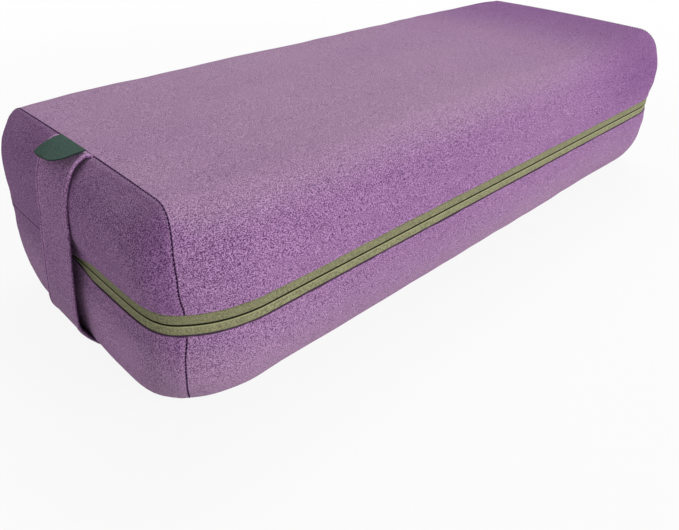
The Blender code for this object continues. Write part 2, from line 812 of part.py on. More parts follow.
def add_zip_stops(metal):
    """The stops that end the chain under the handles: one at the near end, two at the far end."""
    inner_edge, outer_edge = TAPE_SLOT / 2, TAPE_SLOT / 2 + COIL_WIDTH
    stops = {
        "zip_bottom_stop": (NEAR, -outer_edge, outer_edge),
        "zip_top_stop_upper": (FAR, inner_edge, outer_edge),
        "zip_top_stop_lower": (FAR, -outer_edge, -inner_edge),
    }
    start = handle_edge() + LAYER_GAP
    for name, (end, low, high) in stops.items():
        rings = []
        for depth in (coil_depth(), coil_depth() + COIL_HEIGHT):
            x = end * (zip_floor() - depth)
            ring = [(start, low), (start, high), (start + ZIP_STOP_LENGTH, high)]
            ring.append((start + ZIP_STOP_LENGTH, low))
            rings.append([Vector((x, y, ZIP_HEIGHT + rise)) for y, rise in ring])
        add_piece(name, *bar_along(rings), metal)


def extruded(outline, low, high, to_world):
    """Vertices and faces of a flat outline given a thickness between two levels."""
    rings = [[to_world(across, along, level) for across, along in outline] for level in (low, high)]
    return bar_along(rings)


def cutter(name, vertices, faces):
    """A hidden tool body for a Boolean."""
    body = add_piece(name, vertices, faces, bpy.data.materials.new(name))
    body.hide_render = True
    body.display_type = "WIRE"
    body.hide_set(True)
    return body


def combine(piece, tool, operation):
    """Join a tool body to a piece, or cut the piece with it."""
    change = piece.modifiers.new(tool.name, "BOOLEAN")
    change.operation = operation
    change.object = tool
    change.solver = "EXACT"


def rounded_outline(points, radius, steps=3):
    """A closed outline of straight sides with rounded corners."""
    outline = []
    count = len(points)
    for index, corner in enumerate(points):
        before, after = Vector(points[index - 1]), Vector(points[(index + 1) % count])
        corner = Vector(corner)
        back, ahead = (before - corner).normalized(), (after - corner).normalized()
        half = back.angle(ahead) / 2
        reach = radius / math.tan(half)
        centre = corner + (back + ahead).normalized() * (radius / math.sin(half))
        start = (corner + back * reach - centre).normalized()
        stop = (corner + ahead * reach - centre).normalized()
        for step in range(steps + 1):
            outline.append(tuple(centre + start.slerp(stop, step / steps) * radius))
    return outline


def slider_middle():
    """Y of the slider's middle when the zip is closed."""
    return handle_edge() - SLIDER_SET_BACK


def on_slider(out, along, rise):
    """World point from a distance out of the channel floor, along the zip and above its line."""
    return Vector((zip_floor() + out, slider_middle() + along, ZIP_HEIGHT + rise))


def slider_levels():
    """Levels of the slider's parts, measured out of the channel floor."""
    lower_outer = -lower_plate_depth()
    upper_inner = -tape_depth() + SLIDER_CLEARANCE
    return {
        "lower": (lower_outer - SLIDER_PLATE, lower_outer),
        "rim": (lower_outer - SLIDER_PLATE / 2, -tape_depth() - TAPE_THICKNESS - SLIDER_CLEARANCE),
        "neck": (lower_outer - SLIDER_PLATE / 2, upper_inner + SLIDER_PLATE / 2),
        "upper": (upper_inner, upper_inner + SLIDER_PLATE),
    }


def add_slider(metal, carrier):
    """The zip slider: two plates joined by a neck at the nose, rims, and the pull's bridge."""
    half_length = SLIDER_LENGTH / 2
    nose, tail = SLIDER_WIDTH / 2, SLIDER_TAIL_WIDTH / 2
    plan = rounded_outline(
        [(-half_length, -tail), (half_length, -nose), (half_length, nose), (-half_length, tail)],
        SLIDER_RIM,
    )
    levels = slider_levels()

    def world(along, rise, out):
        return on_slider(out, along, rise) - carrier.location

    slider = add_piece(
        "zip_slider", *extruded(plan, *levels["upper"], world), metal, carrier
    )
    parts = [("lower_plate", extruded(plan, *levels["lower"], world))]
    for side in (UP, DOWN):
        rim = [
            (-half_length + SLIDER_RIM, side * (tail - SLIDER_RIM)),
            (half_length - SLIDER_RIM, side * (nose - SLIDER_RIM)),
            (half_length - SLIDER_RIM, side * nose),
            (-half_length + SLIDER_RIM, side * tail),
        ]
        parts.append((f"rim_{side}", extruded(rim, *levels["rim"], world)))
    neck = [
        (half_length - SLIDER_NECK_LENGTH, -SLIDER_NECK_WIDTH / 2),
        (half_length - SLIDER_RIM, -SLIDER_NECK_WIDTH / 2),
        (half_length - SLIDER_RIM, SLIDER_NECK_WIDTH / 2),
        (half_length - SLIDER_NECK_LENGTH, SLIDER_NECK_WIDTH / 2),
    ]
    parts.append(("neck", extruded(neck, *levels["neck"], world)))
    parts.append(("bridge", bridge_body(levels["upper"][1], carrier)))
    for name, (vertices, faces) in parts:
        tool = cutter("slider_" + name, vertices, faces)
        tool.parent = carrier
        combine(slider, tool, "UNION")
    return slider


def bridge_body(seat, carrier):
    """The arch over the slider's outer plate, under which the pull's bar turns."""
    half = BRIDGE_LENGTH / 2
    sunk = seat - SLIDER_PLATE / 2
    top = seat + BRIDGE_ROOM + BRIDGE_BAR
    inner = half - BRIDGE_BAR
    outline = [(-half, sunk), (-half, top - BRIDGE_BAR), (-inner, top), (inner, top)]
    outline += [(half, top - BRIDGE_BAR), (half, sunk), (inner, sunk)]
    outline += [(inner, seat + BRIDGE_ROOM - BRIDGE_BAR / 2), (inner - BRIDGE_BAR / 2, seat + BRIDGE_ROOM)]
    outline += [(-inner + BRIDGE_BAR / 2, seat + BRIDGE_ROOM)]
    outline += [(-inner, seat + BRIDGE_ROOM - BRIDGE_BAR / 2), (-inner, sunk)]

    def world(along, out, rise):
        return on_slider(out, along, rise) - carrier.location

    return extruded(outline, -BRIDGE_WIDTH / 2, BRIDGE_WIDTH / 2, world)


def pull_axis():
    """World point on the axis about which the pull turns."""
    seat = slider_levels()["upper"][1]
    return on_slider(seat + BRIDGE_ROOM / 2, 0, 0)


def add_pull(metal, carrier):
    """The pull: a tapered plate with an eye round the bridge and a round hole at its tip."""
    half = PULL_THICKNESS / 2
    eye_half = BRIDGE_WIDTH / 2 + PULL_EYE_CLEARANCE
    eye_end = BRIDGE_LENGTH / 2 + PULL_EYE_CLEARANCE
    head = PULL_HEAD_WIDTH / 2
    shoulder = eye_end + PULL_THICKNESS
    plan = rounded_outline(
        [
            (half, -head), (half, head), (-shoulder, head), (-PULL_LENGTH + PULL_WIDTH / 2, PULL_WIDTH / 2),
            (-PULL_LENGTH, PULL_WIDTH / 2), (-PULL_LENGTH, -PULL_WIDTH / 2),
            (-PULL_LENGTH + PULL_WIDTH / 2, -PULL_WIDTH / 2), (-shoulder, -head),
        ],
        PULL_THICKNESS / 3,
    )

    def local(along, rise, out):
        return Vector((out, along, rise))

    pull = add_piece("zip_pull", *extruded(plan, -half, half, local), metal, carrier)
    eye = [(-half, -eye_half), (-half, eye_half), (-eye_end, eye_half), (-eye_end, -eye_half)]
    hole_middle = -PULL_LENGTH + PULL_WIDTH / 2
    hole = [
        (hole_middle + PULL_HOLE_RADIUS * math.cos(math.tau * step / 16),
         PULL_HOLE_RADIUS * math.sin(math.tau * step / 16))
        for step in range(16)
    ]
    for name, outline in (("pull_eye", eye), ("pull_hole", hole)):
        tool = cutter(name, *extruded(outline, -PULL_THICKNESS, PULL_THICKNESS, local))
        tool.parent = carrier
        combine(pull, tool, "DIFFERENCE")
    return pull


# Handles and label


def handle_run(plain, end):
    """Smooth middle line of a handle in (x, z), from the top seam down to the base seam."""
    knots = []
    for level, share, bow in HANDLE_RUN_SHARES:
        keys = {UP: ("top", HANDLE_OFFSET), DOWN: ("base", HANDLE_OFFSET)}
        _, seam_z = plain.place(keys[level])
        z = ZIP_HEIGHT + (seam_z - ZIP_HEIGHT) * share
        point, normal = plain.point(HANDLE_OFFSET, z, end)
        away = Vector((normal[0], normal[2])).normalized()
        lift = SEWN_GAP + HANDLE_THICKNESS / 2 + bow * HANDLE_BOW
        knots.append(Vector((point[0], point[2])) + away * lift)
    return smooth_line(knots, HANDLE_STEPS)


def smooth_line(knots, steps):
    """Points on a smooth curve through the knots."""
    line = []
    padded = [2 * knots[0] - knots[1], *knots, 2 * knots[-1] - knots[-2]]
    for a, b, c, d in zip(padded, padded[1:], padded[2:], padded[3:]):
        for step in range(steps):
            t = step / steps
            bend = (2 * a - 5 * b + 4 * c - d) * t * t + (3 * b - a - 3 * c + d) * t**3
            line.append((2 * b + (c - a) * t + bend) / 2)
    return line + [knots[-1]]


def ribbon(line, section, end):
    """Vertices and faces of a band whose section (y, outward) follows a line in (x, z)."""
    rings = []
    for index, point in enumerate(line):
        before, after = line[max(index - 1, 0)], line[min(index + 1, len(line) - 1)]
        run = (after - before).normalized()
        out = Vector((-run[1], run[0])) * -end
        rings.append([
            Vector((point[0] + out[0] * lift, y, point[1] + out[1] * lift)) for y, lift in section
        ])
    return bar_along(rings)


def add_handles(plain, suede):
    """A flat hemmed carry handle on each end, from the top seam to the base seam."""
    edge, hem = HANDLE_WIDTH / 2, HANDLE_WIDTH / 2 - HANDLE_HEM
    face = HANDLE_THICKNESS / 2
    low = face - HANDLE_HEM_RISE
    step = hem - HANDLE_HEM_RISE
    section = [(-edge, face), (-hem, face), (-step, low), (step, low), (hem, face), (edge, face)]
    section += [(edge, -face), (-edge, -face)]
    section = [(HANDLE_OFFSET + y, lift) for y, lift in section]
    for end, name in END_NAMES.items():
        line = handle_run(plain, end)
        add_piece("handle_" + name, *ribbon(line, section, end), suede)


def label_line(plain):
    """Middle line of the label in (x, z): it leaves the top seam level and curls down."""
    root, beyond = handle_run(plain, NEAR)[:2]
    along = (beyond - root).normalized()
    above = (HANDLE_THICKNESS + LABEL_THICKNESS) / 2 + SEWN_GAP
    root = root + Vector((along[1], -along[0])) * above
    line = [root]
    for step in range(LABEL_STEPS):
        share = (step + 0.5) / LABEL_STEPS
        angle = LABEL_LEAVES_AT + (LABEL_CURLS_TO - LABEL_LEAVES_AT) * share
        reach = LABEL_LENGTH / LABEL_STEPS
        line.append(line[-1] + Vector((-math.cos(angle), -math.sin(angle))) * reach)
    return line


def label_hinge(plain):
    """World point on the sewn edge about which the label folds up."""
    root = label_line(plain)[0]
    return Vector((root[0], LABEL_OFFSET, root[1]))


def add_label(plain, satin, carrier):
    """The folded label, bare, sewn into the top seam over the near handle."""
    half, face = LABEL_WIDTH / 2, LABEL_THICKNESS / 2
    section = [(-half, face), (half, face), (half, -face), (-half, -face)]
    hinge = carrier.location
    line = [point - Vector((hinge[0], hinge[2])) for point in label_line(plain)]
    add_piece("label_tab", *ribbon(line, section, NEAR), satin, carrier)


def carrier_at(name, place, parent=None):
    """An empty on a joint's axis, which carries a moving piece."""
    empty = bpy.data.objects.new(name, None)
    empty.location = place if parent is None else place - parent.location
    bpy.context.scene.collection.objects.link(empty)
    empty.parent = parent
    return empty


def build_bolster():
    """Model the whole bolster."""
    remove_old_objects()
    suede = material("suede", (0.37, 0.22, 0.38), 0.85, sheen=0.4)
    woven = material("zip_tape", (0.25, 0.24, 0.17), 0.8)
    nylon = material("zip_coil", (0.10, 0.10, 0.07), 0.5)
    metal = material("zip_metal", (0.42, 0.41, 0.38), 0.35, metallic=1.0)
    satin = material("label", (0.035, 0.085, 0.062), 0.6)
    cloth = material("liner", (0.80, 0.79, 0.76), 0.9)
    fleece = material("wadding", (0.90, 0.90, 0.88), 0.95)
    yellow, grey = (0.72, 0.66, 0.40), (0.62, 0.66, 0.70)
    foams = {}
    for name, tint in zip(FOAM_LAYERS, (yellow, grey, yellow)):
        foams[name] = material("foam_layer_" + name, tint, 0.95)

    drawn, plain = EndOutline(1.0), EndOutline(0.0)
    add_cover(drawn, suede)
    add_liner(drawn, cloth)
    add_wadding(drawn, fleece)
    add_foam(foams)
    add_zip_tapes(drawn, woven)
    add_zip_coils(drawn, nylon)
    add_zip_stops(metal)
    add_handles(plain, suede)

    slider_carrier = carrier_at("slider_carrier", on_slider(0, 0, 0))
    add_slider(metal, slider_carrier)
    pull_carrier = carrier_at("pull_carrier", pull_axis(), slider_carrier)
    add_pull(metal, pull_carrier)
    label_carrier = carrier_at("label_carrier", label_hinge(plain))
    add_label(plain, satin, label_carrier)
    bpy.context.view_layer.update()


build_bolster()
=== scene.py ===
"""Looks of the rectangular yoga bolster: suede cover, zip, handles, label and filling."""
import math

import bmesh
import bpy
import numpy as np
from mathutils import Matrix, Vector


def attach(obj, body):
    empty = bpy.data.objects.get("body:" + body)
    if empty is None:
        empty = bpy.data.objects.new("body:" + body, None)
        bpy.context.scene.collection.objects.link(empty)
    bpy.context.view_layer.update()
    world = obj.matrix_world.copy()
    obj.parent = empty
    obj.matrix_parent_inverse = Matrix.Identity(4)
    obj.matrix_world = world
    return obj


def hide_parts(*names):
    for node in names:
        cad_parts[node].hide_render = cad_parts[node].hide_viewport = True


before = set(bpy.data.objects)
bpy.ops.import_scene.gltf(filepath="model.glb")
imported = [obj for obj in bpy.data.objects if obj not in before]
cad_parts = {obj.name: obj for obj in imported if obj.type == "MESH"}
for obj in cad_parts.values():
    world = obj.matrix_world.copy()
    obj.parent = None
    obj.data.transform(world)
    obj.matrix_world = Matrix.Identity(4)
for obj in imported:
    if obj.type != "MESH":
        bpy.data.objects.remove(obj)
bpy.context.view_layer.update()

bl_info = {
    "name": "Yoga bolster",
    "version": (1, 0, 0),
    "blender": (4, 5, 0),
    "location": "3D View > Sidebar > Bolster",
    "description": "Dresses the packed yoga bolster in suede, zip tape, satin and thread",
    "category": "Object",
}

# Form of the filled cover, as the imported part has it, in metres and radians
BODY_LENGTH, BODY_WIDTH, BODY_HEIGHT = 0.650, 0.257, 0.1525
TOP_EDGE, BASE_EDGE = BODY_HEIGHT * 0.259, BODY_HEIGHT * 0.3148
ZIP_HEIGHT, DRAW_REACH = BODY_HEIGHT * 0.5344, BODY_HEIGHT * 0.1574
TOP_CROWN, CROWN_LEFT_AT_ENDS, SIDE_SWELL = 0.0022, 0.5, 0.003
END_ROUNDING, END_TURN = 0.067, math.radians(36.5)
SEAM_BACK = {"side": 0.015, "top": 0.0215, "base": 0.0285, "corner": -0.0022}
SEAM_IN = {"side": 0.015, "top": 0.0005, "base": 0.0035, "corner": 0.0018}
FLATNESS = {"side": 11.5, "top": 6.0, "base": 10.5, "corner": 0.0}
ZIP_DRAW_IN, BACK_DRAW_IN, DRAW_FADE = 0.0030, 0.0012, 0.020
HALF_OPENING, OPENING_NARROWS_AT, SEWN_GAP = 0.0075, 0.032, 0.0003
HALF_LENGTH, HALF_WIDTH = BODY_LENGTH / 2, BODY_WIDTH / 2
STRAIGHT = HALF_LENGTH - END_ROUNDING
NEAR, FAR, UP, DOWN, STEP = -1, 1, 1, -1, 1e-5
END_NAMES = {NEAR: "near", FAR: "far"}
LEVEL_NAMES = {UP: "upper", DOWN: "lower"}

# Zip: each tape's section as height above the zip line and depth below the tape's own face
TAPE_DEPTH, TAPE_THICKNESS, COIL_DEPTH = 0.0020, 0.0006, 0.0029
TAPE_SECTION = np.array((
    (0.00050, 0.0010), (0.00051, 0.0), (0.00058, -0.0005), (0.00075, -0.0009), (0.0010, -0.00115),
    (0.0013, -0.0012), (0.0017, -0.0011), (0.0022, -0.0010), (0.0030, -0.0010), (0.0040, -0.0011),
    (0.0055, -0.0012), (0.0067, -0.0012), (0.0071, -0.0010), (0.0074, -0.0004), (0.0078, 0.0),
    (0.0100, 0.0), (0.0125, 0.0),
))
HEAD_LINE, HEAD_SHARE, HEAD_RADIUS = 0.0004, 0.62, 0.00055
ZIP_STEPS_ACROSS, ZIP_STEPS_ROUND, ZIP_STEPS_ALONG = 46, 25, 100

# A stitch: its rings as (share of its length from its middle, share of its radius)
STITCH_SIDES = 6
STITCH_RINGS = ((-0.5, 0.35), (-0.36, 0.95), (0.0, 1.0), (0.36, 0.95), (0.5, 0.35))

# Handles: the strap's run as (level, share of the way from the zip line to the seam, bow)
HANDLE_WIDTH, HANDLE_THICKNESS, HANDLE_OFFSET, HANDLE_BOW = 0.043, 0.0022, 0.003, 0.0058
HANDLE_EDGE = HANDLE_OFFSET - HANDLE_WIDTH / 2
HANDLE_RUN = (
    (UP, 1.0, 0.0), (UP, 0.975, 0.22), (UP, 0.94, 0.42), (UP, 0.89, 0.46), (UP, 0.81, 0.22),
    (UP, 0.68, 0.03), (UP, 0.50, 0.03), (UP, 0.30, 0.16), (UP, 0.10, 0.43), (DOWN, 0.10, 0.66),
    (DOWN, 0.30, 0.87), (DOWN, 0.48, 1.0), (DOWN, 0.60, 0.92), (DOWN, 0.70, 0.40),
    (DOWN, 0.79, 0.08), (DOWN, 0.88, 0.0), (DOWN, 0.95, 0.0), (DOWN, 1.0, 0.0),
)
HANDLE_TUCKED, HANDLE_PRESSED = 0.0030, 0.0020
HANDLE_PRESSED_FROM, HANDLE_PRESSED_OVER = 0.68, 0.15
FAR_HANDLE_FLUSH_FROM, STEPS_PER_KNOT = 0.85, 8

# A strap's hem: its reach, and its crest, sewn line and inner ridge as (middle, width), in hems,
# with their painted tones (highlights on crest, ridge and rim top, shade in the sewn line and under
# the rim); its face and rim count as this far from an edge
HEM_REACH, HEM_BELLS = 2.4, ((0.3, 0.4), (1.0, 0.22), (1.55, 0.35))
CREST_HEIGHT, GROOVE_DEPTH, RIM_SHARE = 0.0002, 0.0003, 0.9
CREST_PALE, RIDGE_PALE, SEWN_DARK, RIM_PALE = 3, 2.5, 2.2, 2
FACE_FROM_EDGE, RIM_FROM_EDGE = 0.00025, 0.0007

# Label: it leaves the top seam at its root and curls down
LABEL_WIDTH, LABEL_LENGTH, LABEL_THICKNESS, LABEL_OFFSET = 0.034, 0.021, 0.0008, 0.0015
LABEL_LEAVES, LABEL_CURLS = math.radians(1), math.radians(26)
LABEL_ROOT, LABEL_CORNER, LABEL_LIP = np.array((-0.306047, 0.156074)), 0.010, 0.0006
LABEL_HOLLOW, LABEL_CURL, LABEL_FLAT_AT, LABEL_TWIST = 0.0005, 0.0007, 0.4, 0.0025
LABEL_STEPS, LABEL_GRID, LABEL_SECOND_CORNER = 30, (49, 33), 0.5

# Distances from a sewn edge at which its rolled fold is drawn; the first is the tucked skirt
ROLL, PLAIN_SKIRT, ZIP_SKIRT = 0.0006, 0.0024, TAPE_DEPTH - 0.0001
FOLD_STEPS = np.array(
    (-1.0, 0.0, 0.0001, 0.0002, 0.0004, 0.0006, 0.0010, 0.0016, 0.0024, 0.0034, 0.0046, 0.006)
)
FOLD_REACH = FOLD_STEPS[-1]

# Rings of an end panel from its seam to its middle, and rows of its band beside the zip
PANEL_RINGS, BAND_ROWS, FACE_STEPS = 25, 6, 24
RING_DISTANCE = np.concatenate((FOLD_STEPS, np.full(PANEL_RINGS, FOLD_REACH)))
RING_SHARE = np.concatenate((np.ones(len(FOLD_STEPS)), np.linspace(1, 0, PANEL_RINGS + 1)[1:]))

# Softness of the filled cover: wavelengths with their seeds, heights, and reaches from an edge
WAVES, WAVE_SPREAD = 7, (0.7, 1.5)
SWELL_WAVES = ((0.7, 0.11, 3), (0.3, 0.04, 5))
CALM_REACH, GROUND_REACH = 0.02, 0.02
PUCKER_LENGTH, PUCKER_SHIFT, PUCKER_DRIFT = 0.013, 2.2, (0.05, 8)
PUCKER_FADE, PUCKER_START = 0.008, 0.003
PULL_WAVE, PULL_FADE, PULL_START = (0.018, 11), 0.010, 0.002
EDGE_WAVER, EDGE_WAVES, EDGE_SEEDS = 0.00022, (0.07, 0.013), {UP: 21, DOWN: 31}
EDGE_WAVER_FADE, EDGE_CALM, EDGE_KEPT = 0.010, 0.03, 0.2
RIDGE_HEIGHT, RIDGE_AT, RIDGE_WIDTH = 0.0003, 0.0026, 0.0011
ROUNDING_ROWS, STRAIGHT_ROWS, FAN_RADIUS = 15, 131, 0.11
SEAM_SEWN_FROM, SEAM_SEWN_IN, SEAM_THREAD, HANDLE_THREAD = 0.001, 0.0002, 0.00031, 0.00022

# Painted light and shade on the suede, below 0 painted shade and above 0 painted light; pairs are
# (start, over). The rows paint shade on the top's far end, along the whole length, beside an end
# seam and on an end's back half, and paint bounce light on an end's low part
FAR_SHADE, FAR_FROM, FAR_ABOVE = 0.9, (0.13, 0.13), (0.08, 0.04)
LONG_SHADE, LONG_FROM = 0.4, (0.0, 0.3)
TUCK_REACH, TUCK_ABOVE, TUCK_LEFT_OUT, TUCK_REACH_AT_HANDLE = 0.018, (0.02, 0.07), 0.5, 0.02
BACK_SHADE, BACK_FROM = 0.35, (0.02, 0.02)
LOW_PALE, LOW_BELOW, LOW_OVER, LOW_INSIDE = 3.0, 0.08, 0.04, 0.045

# Nap: grains and patches to the metre, spans of the noise, and where painted light pales it: a
# painted sheen on the upward-facing top and painted bounce light low down
SUEDE_GRAIN, SUEDE_PATCHES, PATCH_STRETCH = 1550.0, 8.0, (0.55, 1.7, 1.7)
COARSE_GRAIN, COARSE_SHARE, MOTTLE_SPAN, PATCH_SPAN = 0.55, 0.14, (0.39, 0.61), (0.36, 0.64)
WORN_FACING, WORN_ALONG = (0.45, 0.97), (0.06, 0.29)
WORN_LOW, WORN_MORE_BELOW = (0.018, 0.078), 1.15
WORN_PALE, PATCH_PALE, GRAIN_LEFT_WORN, HOLLOWS_DARKER = 0.38, 0.12, 0.6, (0.86, 1.05, 0.80)
RIM_SPECKLED, SUEDE_ROUGHNESS, FOLD_SHADE = (0.2, 0.8, 0.05, 0.5), (0.82, 0.98), 0.82

# Distances from an edge over which its painted shade and painted highlights fade out, and other
# sizes of the finishes
FOLD_DARK, RIM_RUBBED, SELVEDGE_DARK = (0.0001, 0.0005), (0.0009, 0.0018), (0.0004, 0.0012)
TAPE_SLOT_DARK, TAPE_FOLD_PALE = (0.0006, 0.0009), (0.0010, 0.0017)
TAPE_HEM_DARK = (0.0064, 0.0072)
SOIL_SCALE, FLECK_SCALE, FINE_BUMP = 45.0, 1000.0, 0.0003

# Woven bands: half a turn to each thread; shades of the weave's hollows and threads; shares and
# shades of flecks and soil
HALF_TURN, WEAVE_HOLLOW, WEAVE_THREAD, FLECKS, SOIL = 3.1416, 0.72, 1.45, (0.9, 0.38), (0.3, 0.65)

# Filling: start of the nodes' names, material, roughness, colour, grain, spread, strength
FILLING = (
    ("liner", "liner_cotton", 0.9, (0.72, 0.70, 0.66), 1400.0, 0.08, 0.4),
    ("wadding", "wadding_fleece", 0.97, (0.85, 0.85, 0.83), 260.0, 0.06, 0.9),
    ("foam_layer_middle", "foam_firm_cells", 0.95, (0.58, 0.62, 0.66), 900.0, 0.10, 0.8),
    ("foam_layer", "foam_cells", 0.95, (0.70, 0.64, 0.40), 800.0, 0.10, 0.8),
)

# Stage: the camera as fitted to the photograph, in metres, radians and pixels
CAMERA_PLACE = (-0.45602699, -0.36676212, 0.31820580)
CAMERA_TURNS = (0.80492635, -0.53109649, 0.02647416)
PHOTO_SIZE, OPTICAL_MIDDLE, FOCAL_PIXELS, SENSOR_WIDTH = (679, 530), (310, 225), 649.1174, 36.0
FLOOR_REACH, FLOOR_GLOW, FLOOR_WHITENS = 9.0, 0.9, (0.4, 1.2)


# The filled form


def eased(value, start, over):
    """Share from 0 to 1, eased, as a value goes from start over a distance."""
    share = np.clip((value - start) / over, 0.0, 1.0)
    return share * share * (3 - 2 * share)


def bell(value, middle, width):
    """Bell curve of height 1."""
    return np.exp(-(((value - middle) / width) ** 2))


def unit(vectors):
    """Vectors at length 1."""
    return vectors / np.linalg.norm(vectors, axis=-1, keepdims=True)


def run_along(points):
    """Distance along each line of points."""
    steps = np.linalg.norm(np.diff(points, axis=-2), axis=-1)
    return np.concatenate((np.zeros((*steps.shape[:-1], 1)), np.cumsum(steps, axis=-1)), axis=-1)


def join(x, pair):
    """Points from x and (y, z) arrays."""
    x = np.broadcast_to(x, pair.shape[:-1])
    return np.concatenate((x[..., None], pair), axis=-1)


def draw_in(y, z):
    """Depth of the drawn-in channel of the zip and of the plain seam behind the handles."""
    depth = ZIP_DRAW_IN + (BACK_DRAW_IN - ZIP_DRAW_IN) * eased(y, -DRAW_FADE / 2, DRAW_FADE)
    beside = np.clip((np.abs(z - ZIP_HEIGHT) - HALF_OPENING) / (DRAW_REACH - HALF_OPENING), 0, 1)
    return depth * (1 + np.cos(np.pi * beside)) / 2


def side_reach(side, z, drawn):
    """Distance of a long side from the middle plane at height z."""
    share = (z - BASE_EDGE) / (BODY_HEIGHT - TOP_EDGE - BASE_EDGE)
    reach = HALF_WIDTH + SIDE_SWELL * np.sin(np.pi * share) ** 2
    return reach - drawn * draw_in(side * HALF_WIDTH, z)


def half_section(level, front, back, corner_steps=2, flat_steps=2, drawn=1.0):
    """Section of one half of the cover, from the front side round to the back side.

    front and back are heights above the zip line on the two sides. Returns arrays of
    (y, z), spread and normal for each place.
    """
    radius, flat_z = (TOP_EDGE, BODY_HEIGHT) if level == UP else (BASE_EDGE, 0.0)
    half = HALF_WIDTH - radius

    def flank(side, heights):
        z = ZIP_HEIGHT + level * heights
        slope = side_reach(side, z + STEP, drawn) - side_reach(side, z - STEP, drawn)
        slope = slope / (2 * STEP)
        point = np.stack((side * side_reach(side, z, drawn), z), axis=-1)
        normal = unit(np.stack((np.full_like(z, side), -slope), axis=-1))
        return point, np.broadcast_to((side, 0.0), point.shape), normal

    def corner(side, angles):
        out = np.stack((side * np.cos(angles), level * np.sin(angles)), axis=-1)
        return np.array((side * half, flat_z - level * radius)) + radius * out, out, out

    angles = np.linspace(0, math.pi / 2, corner_steps + 1)
    y = np.linspace(-half, half, flat_steps + 1)[1:-1]
    upright = np.broadcast_to((0.0, level), (len(y), 2))
    flat = np.stack((y, np.full_like(y, flat_z)), axis=-1), upright, upright
    front, back = flank(-1, front), flank(1, back[::-1])
    parts = (front, corner(-1, angles), flat, corner(1, angles[::-1]), back)
    return [np.concatenate(part) for part in zip(*parts)]


def crowned(points, x):
    """Section points lifted by the crown that the top has at x."""
    half = HALF_WIDTH - TOP_EDGE
    share = np.minimum(1.0, np.abs(x) / STRAIGHT)
    left = 1 - (1 - CROWN_LEFT_AT_ENDS) * share * share
    lift = TOP_CROWN * left * np.clip(1 - (points[..., 0] / half) ** 2, 0, 1)
    lifted = points.copy()
    lifted[..., 1] += lift * (points[..., 1] > BODY_HEIGHT - TOP_EDGE)
    return lifted


def mixed(spread, sizes):
    """A size mixed from its side, top, base and corner values by the spread direction."""
    flat = np.where(spread[..., 1] > 0, sizes["top"], sizes["base"])
    across, along = spread[..., 0] ** 2, spread[..., 1] ** 2
    return sizes["side"] * across + flat * along + 4 * sizes["corner"] * across * along


def turned(section, turn, end, drawn=1.0):
    """Points, normals and speed on the wrap's rounding; turn goes from 0 to 1 at the end seam."""
    points, spread, normal = section
    points = crowned(points, STRAIGHT)
    inset, reach = mixed(spread, SEAM_IN), END_ROUNDING - mixed(spread, SEAM_BACK)
    angle = turn * END_TURN
    along = reach * np.sin(angle) / math.sin(END_TURN)
    inward = inset * (1 - np.cos(angle)) / (1 - math.cos(END_TURN))
    slope_along = reach * np.cos(angle) / math.sin(END_TURN)
    slope_inward = inset * np.sin(angle) / (1 - math.cos(END_TURN))
    size = np.hypot(slope_along, slope_inward)
    place = points - spread * inward[..., None]
    pulled = drawn * draw_in(place[..., 0], points[..., 1]) * turn * turn
    x = end * (STRAIGHT + along - pulled)
    out = normal * (slope_along / size)[..., None]
    return join(x, place), join(end * slope_inward / size, out), size * END_TURN


def at_seam(section, drawn=1.0):
    """Points of a section where the far end's seam crosses it."""
    return turned(section, np.ones(len(section[0])), FAR, drawn)[0]


class EndFace:
    """The end face behind its seam's outline."""

    def __init__(self, drawn):
        rows = np.linspace(0, DRAW_REACH, FACE_STEPS)
        self.drawn = drawn
        angles, values = [], []
        for level in (UP, DOWN):
            section = half_section(level, rows, rows, FACE_STEPS, FACE_STEPS, drawn)
            arm = at_seam(section, drawn)[:, 1:] - (0.0, ZIP_HEIGHT)
            angles.append(np.arctan2(arm[:, 1], arm[:, 0]))
            values.append(
                (np.hypot(*arm.T), mixed(section[1], SEAM_BACK), mixed(section[1], FLATNESS))
            )
        angles, values = np.concatenate(angles), np.concatenate(values, axis=1)
        order = np.argsort(angles)
        self.angles, self.values = angles[order], values[:, order]

    def depth(self, y, z):
        """Depth of the end face behind its foremost plane."""
        rise = z - ZIP_HEIGHT
        angle = np.arctan2(rise, y)
        radius, back, flat = (
            np.interp(angle, self.angles, value, period=math.tau) for value in self.values
        )
        return back * (np.hypot(y, rise) / radius) ** flat + self.drawn * draw_in(y, z)

    def surface(self, y, z, end):
        """Points and normals of the end face."""
        slope_y = (self.depth(y + STEP, z) - self.depth(y - STEP, z)) / (2 * STEP)
        slope_z = (self.depth(y, z + STEP) - self.depth(y, z - STEP)) / (2 * STEP)
        point = np.stack((end * (HALF_LENGTH - self.depth(y, z)), y, z), axis=-1)
        return point, unit(np.stack((np.full_like(y, end), slope_y, slope_z), axis=-1))


def uneven(points, wavelength, seed):
    """Soft unevenness from -1 to 1 made of crossed waves."""
    chance = np.random.default_rng(seed)
    total = np.zeros(points.shape[:-1])
    for _ in range(WAVES):
        way = chance.normal(size=3)
        way *= math.tau / (np.linalg.norm(way) * wavelength * chance.uniform(*WAVE_SPREAD))
        total += np.sin(points @ way + chance.uniform(0, math.tau))
    return total / math.sqrt(WAVES)


def fold_depth(distance, skirt):
    """Depth to which a folded edge rolls in at a distance from it; below zero it is the skirt."""
    inside = np.clip(ROLL - distance, 0, ROLL)
    rolled = ROLL - np.sqrt(ROLL * ROLL - inside * inside)
    return np.where(distance < 0, skirt, rolled)


def graded(near, far, step):
    """Heights from a folded edge, fine over the fold and then even, and their distances from it."""
    count = max(1, round((far - near - FOLD_REACH) / step))
    beyond = near + FOLD_REACH + (far - near - FOLD_REACH) * np.arange(1, count + 1) / count
    heights = np.concatenate((near + FOLD_STEPS.clip(0), beyond))
    return heights, np.concatenate((FOLD_STEPS, beyond - near))


# Meshes


def add_object(name, data):
    """A new object in the scene."""
    made = bpy.data.objects.new(name, data)
    bpy.context.scene.collection.objects.link(made)
    return made


